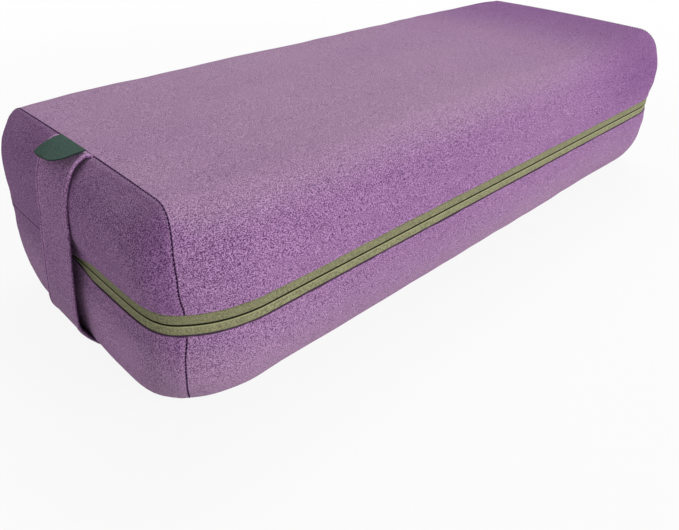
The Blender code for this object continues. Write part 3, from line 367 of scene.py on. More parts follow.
def skin(name, grids, attributes, close=1e-6):
    """One piece from grids of points, welded where they meet; attributes ride on its points."""
    points, faces, first = [], [], 0
    values = {key: [] for key in attributes}
    for grid, extra in grids:
        rows, columns = grid.shape[:2]
        points.append(grid.reshape(-1, 3))
        index = first + np.arange(rows * columns).reshape(rows, columns)
        corners = (index[:-1, :-1], index[:-1, 1:], index[1:, 1:], index[1:, :-1])
        faces += np.stack(corners, axis=-1).reshape(-1, 4).tolist()
        for key in attributes:
            values[key].append(np.broadcast_to(extra[key], (rows, columns)).reshape(-1))
        first += rows * columns
    mesh = bpy.data.meshes.new(name)
    mesh.from_pydata(np.concatenate(points).tolist(), [], faces)
    for key in attributes:
        made = mesh.attributes.new(key, "FLOAT", "POINT")
        made.data.foreach_set("value", np.concatenate(values[key]).astype(np.float32))
    shape = bmesh.new()
    shape.from_mesh(mesh)
    bmesh.ops.remove_doubles(shape, verts=shape.verts, dist=close)
    bmesh.ops.recalc_face_normals(shape, faces=shape.faces)
    shape.to_mesh(mesh)
    shape.free()
    mesh.shade_smooth()
    return add_object(name, mesh)


def coat(piece, material):
    """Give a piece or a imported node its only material."""
    piece.data.materials.clear()
    piece.data.materials.append(material)


def coat_nodes(finishes):
    """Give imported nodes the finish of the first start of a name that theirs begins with."""
    for name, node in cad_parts.items():
        for start, finish in finishes.items():
            if name.startswith(start):
                coat(node, finish)
                break


def finish_piece(piece, body, slot, material, *nodes):
    """Give a piece its material and its body and hide the solids it stands for; slot is not used.
    """
    coat(piece, material)
    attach(piece, body)
    if nodes:
        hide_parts(*nodes)
    return piece


def stitches(name, runs, length, pitch, radius):
    """Thread stitches laid end to end along runs of (points, normals)."""
    turn = np.arange(STITCH_SIDES)[:, None] * math.tau / STITCH_SIDES
    share, size = np.array(STITCH_RINGS).T[..., None, None]
    index = np.arange(len(share) * STITCH_SIDES).reshape(-1, STITCH_SIDES)
    beside = np.roll(index, -1, axis=1)
    sides = np.stack((index[:-1], beside[:-1], beside[1:], index[1:]), axis=-1).reshape(-1, 4)
    points, faces = [], []
    for line, normals in runs:
        way = run_along(line)
        count = int(way[-1] / pitch)
        for middle in (np.arange(count) + 0.5) * way[-1] / count:
            low, high, up = (
                np.array([np.interp(middle + shift, way, values[:, k]) for k in range(3)])
                for shift, values in ((-length / 2, line), (length / 2, line), (0.0, normals))
            )
            across = unit(np.cross(high - low, up))
            up = unit(np.cross(across, high - low))
            out = across * np.cos(turn) + up * np.sin(turn)
            faces += [(len(points) + face).tolist() for face in (*sides, index[0, ::-1], index[-1])]
            rings = (low + high) / 2 + (high - low) * share + out * radius * size
            points += rings.reshape(-1, 3).tolist()
    mesh = bpy.data.meshes.new(name)
    mesh.from_pydata(points, [], faces)
    mesh.shade_smooth()
    return add_object(name, mesh)


# Cover


def relief(points, seam, opening, run, settings):
    """How far the filled suede stands proud: soft unevenness, puckers and pulls at its edges."""
    swell = settings.unevenness * sum(share * uneven(points, *wave) for share, *wave in SWELL_WAVES)
    calm = eased(seam, 0, CALM_REACH) * eased(opening, 0, CALM_REACH)
    wave = np.sin(run * math.tau / PUCKER_LENGTH + PUCKER_SHIFT * uneven(points, *PUCKER_DRIFT))
    pucker = settings.pucker * wave * np.exp(-seam / PUCKER_FADE) * eased(seam, 0, PUCKER_START)
    pull = settings.pucker * uneven(points, *PULL_WAVE) * np.exp(-opening / PULL_FADE)
    pull *= eased(opening, 0, PULL_START)
    return (swell * calm + pucker + pull) * eased(points[..., 2], 0, GROUND_REACH)


def zip_wave(x, seed):
    """Slight waver of the fabric's edge beside the zip."""
    line = np.stack((x, np.zeros_like(x), np.zeros_like(x)), axis=-1)
    return sum(EDGE_WAVER * uneven(line, length, seed + k) for k, length in enumerate(EDGE_WAVES))


def suede_grid(points, normals, seam, opening, run, front, settings, ridge=0.0):
    """The suede's surface with its relief, its edges rolled in, and the distances to them.

    front is where the zip's tape lies under the folded edge; ridge is the seam's ridge.
    """
    inside = np.clip(seam, 0, 1)
    proud = relief(points, inside, np.clip(opening, 0, 1), run, settings)
    proud = proud + ridge * bell(inside, RIDGE_AT, RIDGE_WIDTH)
    skirt = np.where(front, ZIP_SKIRT, PLAIN_SKIRT)
    depth = np.maximum(fold_depth(seam, PLAIN_SKIRT), fold_depth(opening, skirt))
    edge = np.clip(np.minimum(seam, opening), 0, EDGE_KEPT)
    return points + normals * (proud - depth)[..., None], edge


def build_wrap(level, settings):
    """The upper or lower wrap of the cover."""
    radius = TOP_EDGE if level == UP else BASE_EDGE
    arc_start = BODY_HEIGHT - radius - ZIP_HEIGHT if level == UP else ZIP_HEIGHT - radius
    front, front_edge = graded(HALF_OPENING, arc_start, step=0.003)
    back, back_edge = graded(SEWN_GAP / 2, arc_start, step=0.004)
    section = half_section(level, front[:-1], back[:-1], corner_steps=22, flat_steps=56)
    count = len(section[0])
    opening = np.full(count, 1.0)
    opening[: len(front) - 1] = front_edge[:-1]
    opening[count - len(back) + 1 :] = back_edge[:-1][::-1]
    _, _, speed = turned(section, np.ones(count), FAR)

    def rounding(end):
        turns = [(1 - max(away, 0) / speed, np.full(count, away)) for away in FOLD_STEPS]
        for share in np.linspace(1, 0, ROUNDING_ROWS)[1:-1]:
            turn = (1 - FOLD_REACH / speed) * share
            turns.append((turn, (1 - turn) * speed))
        return [(*turned(section, turn, end)[:2], seam) for turn, seam in turns]

    normal = join(0.0, section[2])
    middle = [
        (join(x, crowned(section[0], x)), normal, np.full(count, HALF_LENGTH - abs(x)))
        for x in np.linspace(-STRAIGHT, STRAIGHT, STRAIGHT_ROWS)
    ]
    rows = rounding(NEAR) + middle + rounding(FAR)[::-1]
    points, normals, seam = (np.array(part) for part in zip(*rows))
    opening = np.broadcast_to(opening, seam.shape)
    run = np.broadcast_to(run_along(section[0]), seam.shape)
    x, y, z = np.moveaxis(points, -1, 0)
    beside = (y < 0) * np.exp(-np.clip(opening, 0, 1) / EDGE_WAVER_FADE) * eased(seam, 0, EDGE_CALM)
    z += level * beside * zip_wave(x, EDGE_SEEDS[level])
    grid, edge = suede_grid(points, normals, seam, opening, run, y < 0, settings)
    grid[..., 2] = np.maximum(grid[..., 2], 0.0)
    # Painted shade on the top's far end and along the length towards the far end
    shade = FAR_SHADE * eased(x, *FAR_FROM) * eased(z, *FAR_ABOVE)
    shade += LONG_SHADE * eased(x, *LONG_FROM)
    extra = {"edge": edge, "tone": -settings.tuck * shade}
    return skin(f"cover_{LEVEL_NAMES[level]}_suede", [(grid, extra)], ("edge", "tone"))


def opening_edge(end):
    """Height above the zip line of the fabric's edge on an end face, as a function of y."""
    start = -OPENING_NARROWS_AT if end == NEAR else HANDLE_EDGE
    narrowing = SEWN_GAP / 2 - HALF_OPENING
    return lambda y: HALF_OPENING + narrowing * np.clip(1 - y / start, 0, 1)


def panel_fan(level, edge):
    """Places of a half end panel beyond the zip's band: (y, z), seam, opening and run.

    Also returns the share of the way from the middle to the front side at which each ring lies.
    """
    outline = seam_outline(level, np.array((DRAW_REACH,)), corner_steps=24, flat_steps=60)
    begins = outline[0, 1]
    arm = outline - (0.0, begins)
    lengths = np.hypot(*arm.T)
    share = (1 - RING_DISTANCE.clip(0)[:, None] / lengths) * RING_SHARE[:, None]
    flat = np.array((0.0, begins)) + arm * share[..., None]
    seam = np.where(RING_DISTANCE[:, None] < 0, -1.0, (1 - share) * lengths)
    opening = np.maximum(np.abs(flat[..., 1] - ZIP_HEIGHT) - edge(flat[..., 0]), FOLD_REACH)
    run = np.broadcast_to(np.arctan2(arm[:, 1], arm[:, 0]) * FAN_RADIUS, seam.shape)
    return (flat, seam, opening, run), share[:, 0]


def band_rise(edge, y, span, share):
    """Height above the zip line of a row of the band, span or share of the way from its edge."""
    return edge(y) + max(span, 0) + (DRAW_REACH - edge(y) - FOLD_REACH) * share


def panel_band(level, edge, side_share):
    """Places of the band beside the zip, whose edge is folded in, as panel_fan gives them."""
    spans = np.concatenate((FOLD_STEPS, np.full(BAND_ROWS, FOLD_REACH)))
    shares = np.concatenate((np.zeros(len(FOLD_STEPS)), np.arange(1, BAND_ROWS + 1) / BAND_ROWS))
    flat, seam, opening = [], [], []
    for span, share in zip(spans, shares):
        line, distances = [], []
        for side, way in ((-1, slice(None)), (1, slice(-2, None, -1))):
            height = np.array((band_rise(edge, np.array(side * HALF_WIDTH), span, share),))
            seam_y = at_seam(half_section(level, height, height))[0 if side < 0 else -1, 1]
            y = seam_y * side_share
            rise = band_rise(edge, y, span, share)
            distance = np.where(RING_DISTANCE < 0, -1.0, (1 - side_share) * abs(seam_y))
            line.append(np.stack((y, ZIP_HEIGHT + level * rise), axis=-1)[way])
            distances.append(distance[way])
        flat.append(np.concatenate(line))
        seam.append(np.concatenate(distances))
        opening.append(np.full(len(flat[-1]), rise.mean() - HALF_OPENING if share else span))
    flat = np.array(flat)
    return flat, np.array(seam), np.array(opening), flat[..., 0]


def build_end_panel(end, level, face, settings):
    """Half of an end panel: a fan beyond the zip's band and the band itself."""
    edge = opening_edge(end)
    fan, side_share = panel_fan(level, edge)
    made = []
    for flat, seam, opening, run in (fan, panel_band(level, edge, side_share)):
        points, normals = face.surface(flat[..., 0], flat[..., 1], end)
        _, y, z = np.moveaxis(points, -1, 0)
        front, inside = y < HANDLE_EDGE, np.clip(seam, 0, 1)
        grid, kept = suede_grid(points, normals, seam, opening, run, front, settings, RIDGE_HEIGHT)
        # Painted shade on the end panel: beside its seam above the zip, less beside the handle, and
        # over its back half away from the main lamp
        tucked = bell(inside, 0, TUCK_REACH) * eased(z, *TUCK_ABOVE)
        tucked *= 1 - TUCK_LEFT_OUT * bell(y, HANDLE_EDGE, TUCK_REACH_AT_HANDLE)
        tucked += BACK_SHADE * eased(y, *BACK_FROM)
        # Painted bounce light from the floor on an end's low part
        low = eased(LOW_BELOW - z, 0, LOW_OVER) * eased(inside, 0, LOW_INSIDE)
        tone = LOW_PALE * settings.rub * low - settings.tuck * tucked
        made.append((grid, {"edge": kept, "tone": tone}))
    name = f"end_{END_NAMES[end]}_{LEVEL_NAMES[level]}_suede"
    return skin(name, made, ("edge", "tone"), close=2e-6)


def seam_outline(level, rows, corner_steps, flat_steps):
    """Places (y, z) of the end seam round one half of the cover."""
    return at_seam(half_section(level, rows, rows, corner_steps, flat_steps))[:, 1:]


def seam_run(end, level, face):
    """Points and normals of the stitching round one half of an end, just inside its seam."""
    heights = np.linspace(HALF_OPENING + SEAM_SEWN_FROM, DRAW_REACH, 8)
    outline = seam_outline(level, heights, corner_steps=40, flat_steps=90)
    moved = outline + unit((0.0, ZIP_HEIGHT) - outline) * SEAM_SEWN_IN
    return face.surface(moved[:, 0], moved[:, 1], end)


# Zip


def zip_line(rises, face, whole=True):
    """Points and normals along the zip for each rise above its middle line."""
    lines, slants = [], []
    for rise in rises:
        row = np.array((abs(rise),))
        section = [part[:1] for part in half_section(UP if rise > 0 else DOWN, row, row)]
        seam_y = at_seam(section)[0, 1]
        parts = {}
        for end in (NEAR, FAR):
            y = np.linspace(seam_y, 0.0 if whole else HANDLE_EDGE, ZIP_STEPS_ACROSS)
            across = face.surface(y, np.full_like(y, ZIP_HEIGHT + rise), end)
            turns = np.linspace(0, 1, ZIP_STEPS_ROUND)[:, None]
            bend = [turned(section, turn, end) for turn in turns]
            parts[end] = [
                np.concatenate([[bent[k][0] for bent in bend], across[k][1:]]) for k in (0, 1)
            ]
        x = np.linspace(-STRAIGHT, STRAIGHT, ZIP_STEPS_ALONG)[1:-1]
        middle = [
            join(along, np.repeat(section[k], len(x), axis=0)) for along, k in ((x, 0), (0.0, 2))
        ]
        line, slant = (
            np.concatenate((parts[NEAR][k][::-1], middle[k], parts[FAR][k])) for k in (0, 1)
        )
        lines.append(line)
        slants.append(slant)
    return np.array(lines), np.array(slants)


def build_tape(level, face):
    """One woven tape: flat where it is sewn in, folded over beside the chain."""
    rises, sunk = TAPE_SECTION.T
    points, normals = zip_line(level * rises, face)
    grid = points - normals * (TAPE_DEPTH + sunk)[:, None, None]
    under = points - normals * (TAPE_DEPTH + TAPE_THICKNESS)
    run = run_along(points)
    grid = np.concatenate((grid, under[-1:], under[:1], grid[:1]))
    run = np.concatenate((run, run[-1:], run[:1], run[:1]))
    across = np.concatenate((rises, rises[-1:], rises[:1], rises[:1]))
    extra = {"run": run, "across": across[:, None], "lit": 1.0 if level == DOWN else 0.0}
    return skin(f"zip_tape_{LEVEL_NAMES[level]}_web", [(grid, extra)], ("run", "across", "lit"))


def build_teeth(face, pitch):
    """The chain's interlocked coil heads, seen through the slot between the tapes."""
    points, normals = zip_line((HEAD_LINE, -HEAD_LINE), face, whole=False)
    line, slant = points.mean(axis=0), normals.mean(axis=0)
    sunk = line - slant * (COIL_DEPTH - HEAD_LINE)
    return stitches("zip_chain_heads", [(sunk, slant)], pitch * HEAD_SHARE, pitch, HEAD_RADIUS)


# Handles and label


def handle_line(end, plain):
    """Smooth middle line of a handle in (x, z), from the top seam to the base seam."""
    row = np.array((DRAW_REACH,))
    knots = []
    for level, share, bow in HANDLE_RUN:
        section = half_section(level, row, row, flat_steps=200, drawn=0.0)
        nearest = np.argmin(np.abs(section[0][:, 0] - HANDLE_OFFSET))
        seam = at_seam([part[nearest : nearest + 1] for part in section], 0.0)
        z = ZIP_HEIGHT + (seam[0, 2] - ZIP_HEIGHT) * share
        point, normal = plain.surface(np.array((HANDLE_OFFSET,)), np.array((z,)), end)
        away = unit(normal[0, ::2])
        if end == FAR and level == UP and share > FAR_HANDLE_FLUSH_FROM:
            lift = SEWN_GAP - HANDLE_THICKNESS / 2
        else:
            lift = SEWN_GAP + HANDLE_THICKNESS / 2 + bow * HANDLE_BOW
        if level == UP:
            lift -= HANDLE_TUCKED * (share == 1.0)
        else:
            pressed = max(0.0, share - HANDLE_PRESSED_FROM) / HANDLE_PRESSED_OVER
            lift -= HANDLE_PRESSED * min(1.0, pressed)
        knots.append(point[0, ::2] + away * lift)
    padded = [2 * knots[0] - knots[1], *knots, 2 * knots[-1] - knots[-2]]
    line = []
    for a, b, c, d in zip(padded, padded[1:], padded[2:], padded[3:]):
        for t in np.arange(STEPS_PER_KNOT) / STEPS_PER_KNOT:
            bend = (2 * a - 5 * b + 4 * c - d) * t * t + (3 * b - a - 3 * c + d) * t**3
            line.append((2 * b + (c - a) * t + bend) / 2)
    return np.array(line + [knots[-1]])


def out_of_line(line, end):
    """Outward directions of a line in (x, z)."""
    run = unit(np.gradient(line, axis=0))
    return np.stack((-run[:, 1], run[:, 0]), axis=-1) * end


def beside_line(line, out, y, lift):
    """Points at y that are lifted outward off a line in (x, z)."""
    x, z = (line[:, k : k + 1] + out[:, k : k + 1] * lift for k in (0, 1))
    return np.stack((x, np.broadcast_to(y, x.shape), z), axis=-1)


def banded(name, line, out, section, attributes):
    """A closed band whose section (y, lift) follows a line in (x, z)."""
    section = np.concatenate((section, section[:1]))
    attributes = {key: np.append(value, value[0]) for key, value in attributes.items()}
    grid = beside_line(line, out, *section.T)
    grids = [(grid, attributes)]
    for row in (0, -1):
        ring = grid[row]
        middle = np.broadcast_to(ring[:-1].mean(axis=0), ring.shape)
        grids.append((np.stack((ring, middle) if row else (middle, ring)), attributes))
    return skin(name, grids, attributes)


def build_handle(name, line, out, settings):
    """One hemmed suede strap: a rolled rim, the stitched groove beside it and a flat face."""
    half, face = HANDLE_WIDTH / 2, HANDLE_THICKNESS / 2
    rim, hem = face * RIM_SHARE, settings.hem
    fine = np.linspace(0, HEM_REACH * hem, 21)[:-1]
    away = np.concatenate((fine, np.linspace(HEM_REACH * hem, half - rim, 9)))
    y_top = np.concatenate((away - half + rim, (half - rim - away)[-2::-1]))
    away = half - rim - np.abs(y_top)
    crest, sewn, ridge = (bell(away, middle * hem, width * hem) for middle, width in HEM_BELLS)
    lift = face + CREST_HEIGHT * crest - GROOVE_DEPTH * (sewn + eased(away, hem, hem))
    bulge = np.linspace(-math.pi / 2, math.pi / 2, 9)[1:-1]
    right = np.stack((half - rim + rim * np.cos(bulge), -face * np.sin(bulge)), axis=-1)
    bottom = np.stack((-y_top, np.full_like(y_top, -face)), axis=-1)
    section = np.concatenate((np.stack((y_top, lift), axis=-1), right, bottom, -right))
    section[:, 0] += HANDLE_OFFSET
    # Rubbed face; painted highlights on crest, ridge and rim top; painted shade in the groove and
    # below
    top = settings.rub * (1 + CREST_PALE * crest + RIDGE_PALE * ridge)
    top -= SEWN_DARK * sewn * settings.tuck
    side = np.linspace(RIM_PALE * settings.rub, -1, len(right))
    under = np.full(len(bottom), -settings.tuck)
    # Edge distances that put painted fold shade on the rim's lower side
    dark = np.linspace(RIM_FROM_EDGE, 0.0, len(right))
    edge = np.concatenate((away + FACE_FROM_EDGE, dark, np.zeros(len(bottom)), dark[::-1]))
    marks = {"edge": edge, "tone": np.concatenate((top, side, under, side[::-1]))}
    return banded(f"handle_{name}_strap", line, out, section, marks)


def handle_seams(line, out, hem):
    """The two lines of stitching beside a handle's hems."""
    lift = HANDLE_THICKNESS / 2 - GROOVE_DEPTH
    normals = np.insert(out, 1, 0.0, axis=1)
    side = HANDLE_WIDTH / 2 - HANDLE_THICKNESS / 2 * RIM_SHARE - hem
    return [(beside_line(line, out, HANDLE_OFFSET + y, lift)[:, 0], normals) for y in (-side, side)]


def build_label():
    """The folded label, bare: two leaves that curl down to rounded corners."""
    share = (np.arange(LABEL_STEPS) + 0.5) / LABEL_STEPS
    angle = LABEL_LEAVES + (LABEL_CURLS - LABEL_LEAVES) * share
    steps = np.stack((np.cos(angle), np.sin(angle)), axis=-1) * LABEL_LENGTH / LABEL_STEPS
    line = LABEL_ROOT - np.concatenate((np.zeros((1, 2)), np.cumsum(steps, axis=0)))
    out = out_of_line(line, NEAR)
    way = np.linspace(0, LABEL_LENGTH, len(line))
    columns, rows = LABEL_GRID
    side, share = np.meshgrid(np.linspace(-1, 1, columns), np.linspace(0, 1, rows))
    half = LABEL_WIDTH / 2
    into = np.clip((np.abs(side) - 1) * half / LABEL_CORNER + 1, 0, 1)
    into *= np.where(side < 0, 1.0, LABEL_SECOND_CORNER)
    run = share * (LABEL_LENGTH - LABEL_CORNER * (1 - np.sqrt(1 - into * into)))
    border = np.minimum(half * (1 - np.abs(side)), LABEL_LENGTH * (1 - share))
    lip = LABEL_THICKNESS / 2 * np.sqrt(np.clip(border / LABEL_LIP, 0, 1))
    drop = (run / LABEL_LENGTH) ** 2
    leaves = []
    for face in (1, -1):
        x, z = (
            np.interp(run, way, line[:, k]) + np.interp(run, way, out[:, k]) * lip * face
            for k in (0, 1)
        )
        x = x - LABEL_HOLLOW * drop * (1 - side * side)
        z = z + drop * (LABEL_CURL * (side * side - LABEL_FLAT_AT) - LABEL_TWIST * side)
        points = np.stack((x, LABEL_OFFSET + side * half, z), axis=-1)
        leaves.append((points, {"run": run, "across": side * half, "selvedge": border}))
    return skin("label_tab_satin", leaves, ("run", "across", "selvedge"))


# Materials


class Nodes:
    """A node tree under construction."""

    def __init__(self, tree):
        self.tree = tree

    def feed(self, socket, value):
        """Set a socket's value, or link it to the socket given."""
        if isinstance(value, bpy.types.NodeSocket):
            self.tree.links.new(value, socket)
        else:
            socket.default_value = value

    def add(self, kind, inputs=(), **settings):
        """Add a node with its settings and inputs, given as values or as sockets to link."""
        node = self.tree.nodes.new(kind)
        for key, value in settings.items():
            setattr(node, key, value)
        for key, value in dict(inputs).items():
            self.feed(node.inputs[key], value)
        return node

    def math(self, operation, *values):
        """A Math node's result."""
        return self.add("ShaderNodeMath", dict(enumerate(values)), operation=operation).outputs[0]

    def times(self, first, second):
        """The product of two values."""
        return self.math("MULTIPLY", first, second)

    def weighed(self, first, share, second, other):
        """The sum of two values, each times its share."""
        return self.math("ADD", self.times(first, share), self.times(second, other))

    def remap(self, value, low, high, to_low=0.0, to_high=1.0):
        """A value mapped from one range to another, clamped."""
        keys = {"Value": value, "From Min": low, "From Max": high}
        keys |= {"To Min": to_low, "To Max": to_high}
        return self.add("ShaderNodeMapRange", keys).outputs["Result"]

    def noise(self, position, scale, detail, roughness=0.55):
        """A noise value at a position."""
        keys = {"Vector": position, "Scale": scale, "Detail": detail, "Roughness": roughness}
        return self.add("ShaderNodeTexNoise", keys).outputs["Fac"]

    def blend(self, share, first, second, way="MIX"):
        """Two colours mixed by a share."""
        keys = {0: share, 6: first, 7: second}
        return self.add("ShaderNodeMix", keys, data_type="RGBA", blend_type=way).outputs[2]

    def position(self):
        """The place on the piece."""
        return self.add("ShaderNodeTexCoord").outputs["Object"]

    def axis(self, vector, number):
        """One component of a vector."""
        return self.add("ShaderNodeSeparateXYZ", {0: vector}).outputs[number]

    def stored(self, name):
        """A number stored on the mesh."""
        return self.add("ShaderNodeAttribute", attribute_name=name).outputs["Fac"]

    def close_to(self, name, low, high, inside=1.0):
        """A mask, strongest where a distance stored on the mesh is below low and gone at high."""
        return self.remap(self.stored(name), low, high, inside, 0.0)

    def seen(self):
        """1 for what the camera sees, directly or in metal or glass."""
        path = self.add("ShaderNodeLightPath").outputs
        seen = self.math("MAXIMUM", path["Is Camera Ray"], path["Is Glossy Ray"])
        return self.math("MAXIMUM", seen, path["Is Transmission Ray"])


class Finish(Nodes):
    """A material under construction round its Principled shader."""

    def __init__(self, name, gloss=0.5, **values):
        self.material = bpy.data.materials.new(name)
        self.material.use_nodes = True
        super().__init__(self.material.node_tree)
        self.shader = self.tree.nodes["Principled BSDF"]
        for key, value in values.items():
            self.shader.inputs[key.replace("_", " ").title()].default_value = value
        self.shader.inputs["Specular IOR Level"].default_value = gloss

    def group(self, group, **inputs):
        """A shared effect's outputs, placed with its own inputs."""
        keys = {key.title(): value for key, value in inputs.items()}
        return self.add("ShaderNodeGroup", keys, node_tree=group).outputs

    def nap(self, grain, patches):
        """The brushed nap's outputs over the piece, its painted light among them."""
        place, normal = self.position(), self.add("ShaderNodeNewGeometry").outputs["Normal"]
        return self.group(nap_effect(), position=place, normal=normal, grain=grain, patches=patches)

    def dress(self, colour, height, strength, distance):
        """Feed the shader its colour and a bump from a height."""
        self.feed(self.shader.inputs["Base Color"], colour)
        keys = {"Height": height, "Strength": strength, "Distance": distance}
        bump = self.add("ShaderNodeBump", keys)
        self.feed(self.shader.inputs["Normal"], bump.outputs["Normal"])
        return self.material


def shared_effect(name, inputs, build):
    """A node group, made once; build takes its nodes and inputs and gives its outputs by name."""
    if name in bpy.data.node_groups:
        return bpy.data.node_groups[name]
    group = bpy.data.node_groups.new(name, "ShaderNodeTree")
    for key, value in inputs.items():
        kind = "NodeSocketVector" if value is None else "NodeSocketFloat"
        socket = group.interface.new_socket(key, in_out="INPUT", socket_type=kind)
        if value is not None:
            socket.default_value = value
    nodes = Nodes(group)
    made = build(nodes, nodes.add("NodeGroupInput").outputs)
    for key in made:
        group.interface.new_socket(key, in_out="OUTPUT", socket_type="NodeSocketFloat")
    nodes.add("NodeGroupOutput", made)
    return group


def nap_effect():
    """Brushed nap: fine mottle, brushed patches, painted light on the top and near the base, a
    height.
    """

    def build(nodes, given):
        place, grain = given["Position"], given["Grain"]
        fine = nodes.noise(place, grain, 2.0, 0.5)
        coarse = nodes.noise(place, nodes.times(grain, COARSE_GRAIN), 1.0, 0.5)
        mottle = nodes.weighed(fine, 1 - COARSE_SHARE, coarse, COARSE_SHARE)
        stretched = nodes.add("ShaderNodeMapping", {"Vector": place, "Scale": PATCH_STRETCH})
        patch = nodes.noise(stretched.outputs[0], given["Patches"], 3.0, 0.5)
        # Painted light: a painted sheen where the surface faces up, fading towards the far end, and
        # painted bounce light low down
        above = nodes.remap(nodes.axis(given["Normal"], 2), *WORN_FACING)
        above = nodes.times(above, nodes.remap(nodes.axis(place, 0), *WORN_ALONG, 1.0, 0.0))
        below = nodes.remap(nodes.axis(place, 2), *WORN_LOW, 1.0, 0.0)
        worn = nodes.math("MAXIMUM", above, nodes.times(below, WORN_MORE_BELOW))
        return {
            "Mottle": nodes.remap(mottle, *MOTTLE_SPAN),
            "Patch": nodes.remap(patch, *PATCH_SPAN),
            "Worn": worn,
            "Height": mottle,
        }

    inputs = {"Position": None, "Normal": None, "Grain": SUEDE_GRAIN, "Patches": SUEDE_PATCHES}
    return shared_effect("Brushed nap", inputs, build)


def weave_effect():
    """Plain weave from two crossed waves along a band's run and across it."""

    def build(nodes, given):
        half_turns = nodes.times(given["Threads"], HALF_TURN)
        warp, weft = (
            nodes.math("SINE", nodes.times(given[way], half_turns)) for way in ("Run", "Across")
        )
        height = nodes.math("ADD", nodes.times(nodes.times(warp, weft), 0.5), 0.5)
        return {"Mask": nodes.remap(height, 0.2, 0.8), "Height": height}

    return shared_effect("Weave", {"Run": 0.0, "Across": 0.0, "Threads": 1500.0}, build)


def shaded(colour, factor=1.0):
    """A colour made darker or lighter, with its alpha."""
    return (*[min(1.0, channel * factor) for channel in colour], 1.0)


def suede_material(settings):
    """Microfibre suede with painted shade in its sewn folds and painted highlights beside them."""
    if "brushed_suede" in bpy.data.materials:
        return bpy.data.materials["brushed_suede"]
    # pale also tints the painted light; rubbed colours rubbing, painted highlights and painted
    # bounce light
    pale, rubbed = shaded(settings.sheen_colour), shaded(settings.rubbed_colour)
    sheen = {"sheen_weight": 0.22, "sheen_roughness": 0.5, "sheen_tint": pale}
    suede = Finish("brushed_suede", 0.15, roughness=0.9, **sheen)
    nap = suede.nap(SUEDE_GRAIN, SUEDE_PATCHES)
    worn, mottle, tone = nap["Worn"], nap["Mottle"], suede.stored("tone")
    # Share of the pale colour: the painted light and the brushed patches
    brushed = suede.weighed(worn, WORN_PALE, nap["Patch"], PATCH_PALE)
    shade = suede.blend(brushed, shaded(settings.colour), pale)
    # Above 0 the stored tone pales towards the rubbed colour (rubbing, painted highlights, painted
    # bounce light); below 0 it darkens into painted shade
    shade = suede.blend(suede.remap(tone, 0.0, 1.0), shade, rubbed)
    shade = suede.blend(suede.remap(tone, 0.0, -1.0), shade, shaded(settings.tuck_colour))
    hollows = (*[1 - share * settings.mottle for share in HOLLOWS_DARKER], 1.0)
    tips = (*[1 + settings.mottle] * 3, 1.0)
    grain = suede.blend(mottle, hollows, tips)
    # The grain is fainter where the light is painted
    shade = suede.blend(suede.remap(worn, 0.0, 1.0, 1.0, GRAIN_LEFT_WORN), shade, grain, "MULTIPLY")
    # Painted shade in the sewn folds and where edges meet
    folds = suede.close_to("edge", *FOLD_DARK, FOLD_SHADE)
    # Painted highlights beside the seams, broken up by the grain
    rims = suede.close_to("edge", *RIM_RUBBED)
    rims = suede.times(rims, suede.remap(mottle, *RIM_SPECKLED))
    shade = suede.blend(rims, shade, rubbed)
    shade = suede.blend(folds, shade, shaded(settings.tuck_colour, 0.3))
    suede.feed(suede.shader.inputs["Roughness"], suede.remap(mottle, 0.0, 1.0, *SUEDE_ROUGHNESS))
    return suede.dress(shade, nap["Height"], strength=0.6, distance=0.0009)


def woven_finish(name, colour, threads, **values):
    """A woven band; returns its finish, shade and height, woven by run and across distances."""
    band = Finish(name, 0.12, **values)
    run, across = band.stored("run"), band.stored("across")
    weave = band.group(weave_effect(), run=run, across=across, threads=threads)
    place = band.position()
    soil = band.remap(band.noise(place, SOIL_SCALE, 3.0), 0.35, 0.65)
    fleck = band.remap(band.noise(place, FLECK_SCALE, 2.0), 0.37, 0.63)
    shade = band.blend(weave["Mask"], shaded(colour, WEAVE_HOLLOW), shaded(colour, WEAVE_THREAD))
    for mask, (share, factor) in ((fleck, FLECKS), (soil, SOIL)):
        shade = band.blend(band.times(mask, share), shade, shaded(colour, factor))
    return band, shade, weave["Height"]


def tape_material(settings):
    """Woven zip tape: painted shade in the slot, upper tape and under the fabric; a painted
    highlight.
    """
    colour = settings.tape_colour
    tape, shade, height = woven_finish(
        "zip_tape_weave", colour, 1500.0, roughness=0.82, sheen_weight=0.1
    )
    lit = tape.stored("lit")
    # Painted shade on the upper tape
    shade = tape.blend(tape.remap(lit, 0.0, 1.0, 0.28, 0.0), shade, shaded(colour, 0.45))
    # Painted highlight along the lower tape's fold
    fold = tape.times(tape.close_to("across", *TAPE_FOLD_PALE, 0.55), lit)
    shade = tape.blend(fold, shade, shaded(colour, 1.7))
    # Painted shadow on the lower tape under the fabric's edge
    under = tape.times(tape.remap(tape.stored("across"), *TAPE_HEM_DARK, 0.0, 0.85), lit)
    shade = tape.blend(under, shade, shaded(colour, 0.06))
    # Painted shade in the slot between the tapes
    shade = tape.blend(tape.close_to("across", *TAPE_SLOT_DARK), shade, shaded(colour, 0.05))
    return tape.dress(shade, height, strength=0.5, distance=FINE_BUMP)


def label_material(settings):
    """Woven satin with painted shade along its edges."""
    colour = settings.label_colour
    satin, shade, height = woven_finish("label_satin", colour, 2600.0, roughness=0.6)
    # Painted shade along the label's edges, where its folded rim lies in shadow
    edge = satin.close_to("selvedge", *SELVEDGE_DARK, 0.85)
    shade = satin.blend(edge, shade, shaded(colour, 0.12))
    return satin.dress(shade, height, strength=0.35, distance=FINE_BUMP)


def grained_material(name, colour, grain, spread, strength, **values):
    """A plain finish with a fine even grain."""
    plain = Finish(name, **values)
    nap = plain.nap(grain, 30.0)
    shade = plain.blend(nap["Mottle"], shaded(colour, 1 - spread), shaded(colour, 1 + spread))
    return plain.dress(shade, nap["Height"], strength, FINE_BUMP)


def thread_material(name, colour):
    """Matt sewing thread."""
    return grained_material(name, colour, 3000.0, 0.2, 0.4, gloss=0.03, roughness=0.8)


# Stage


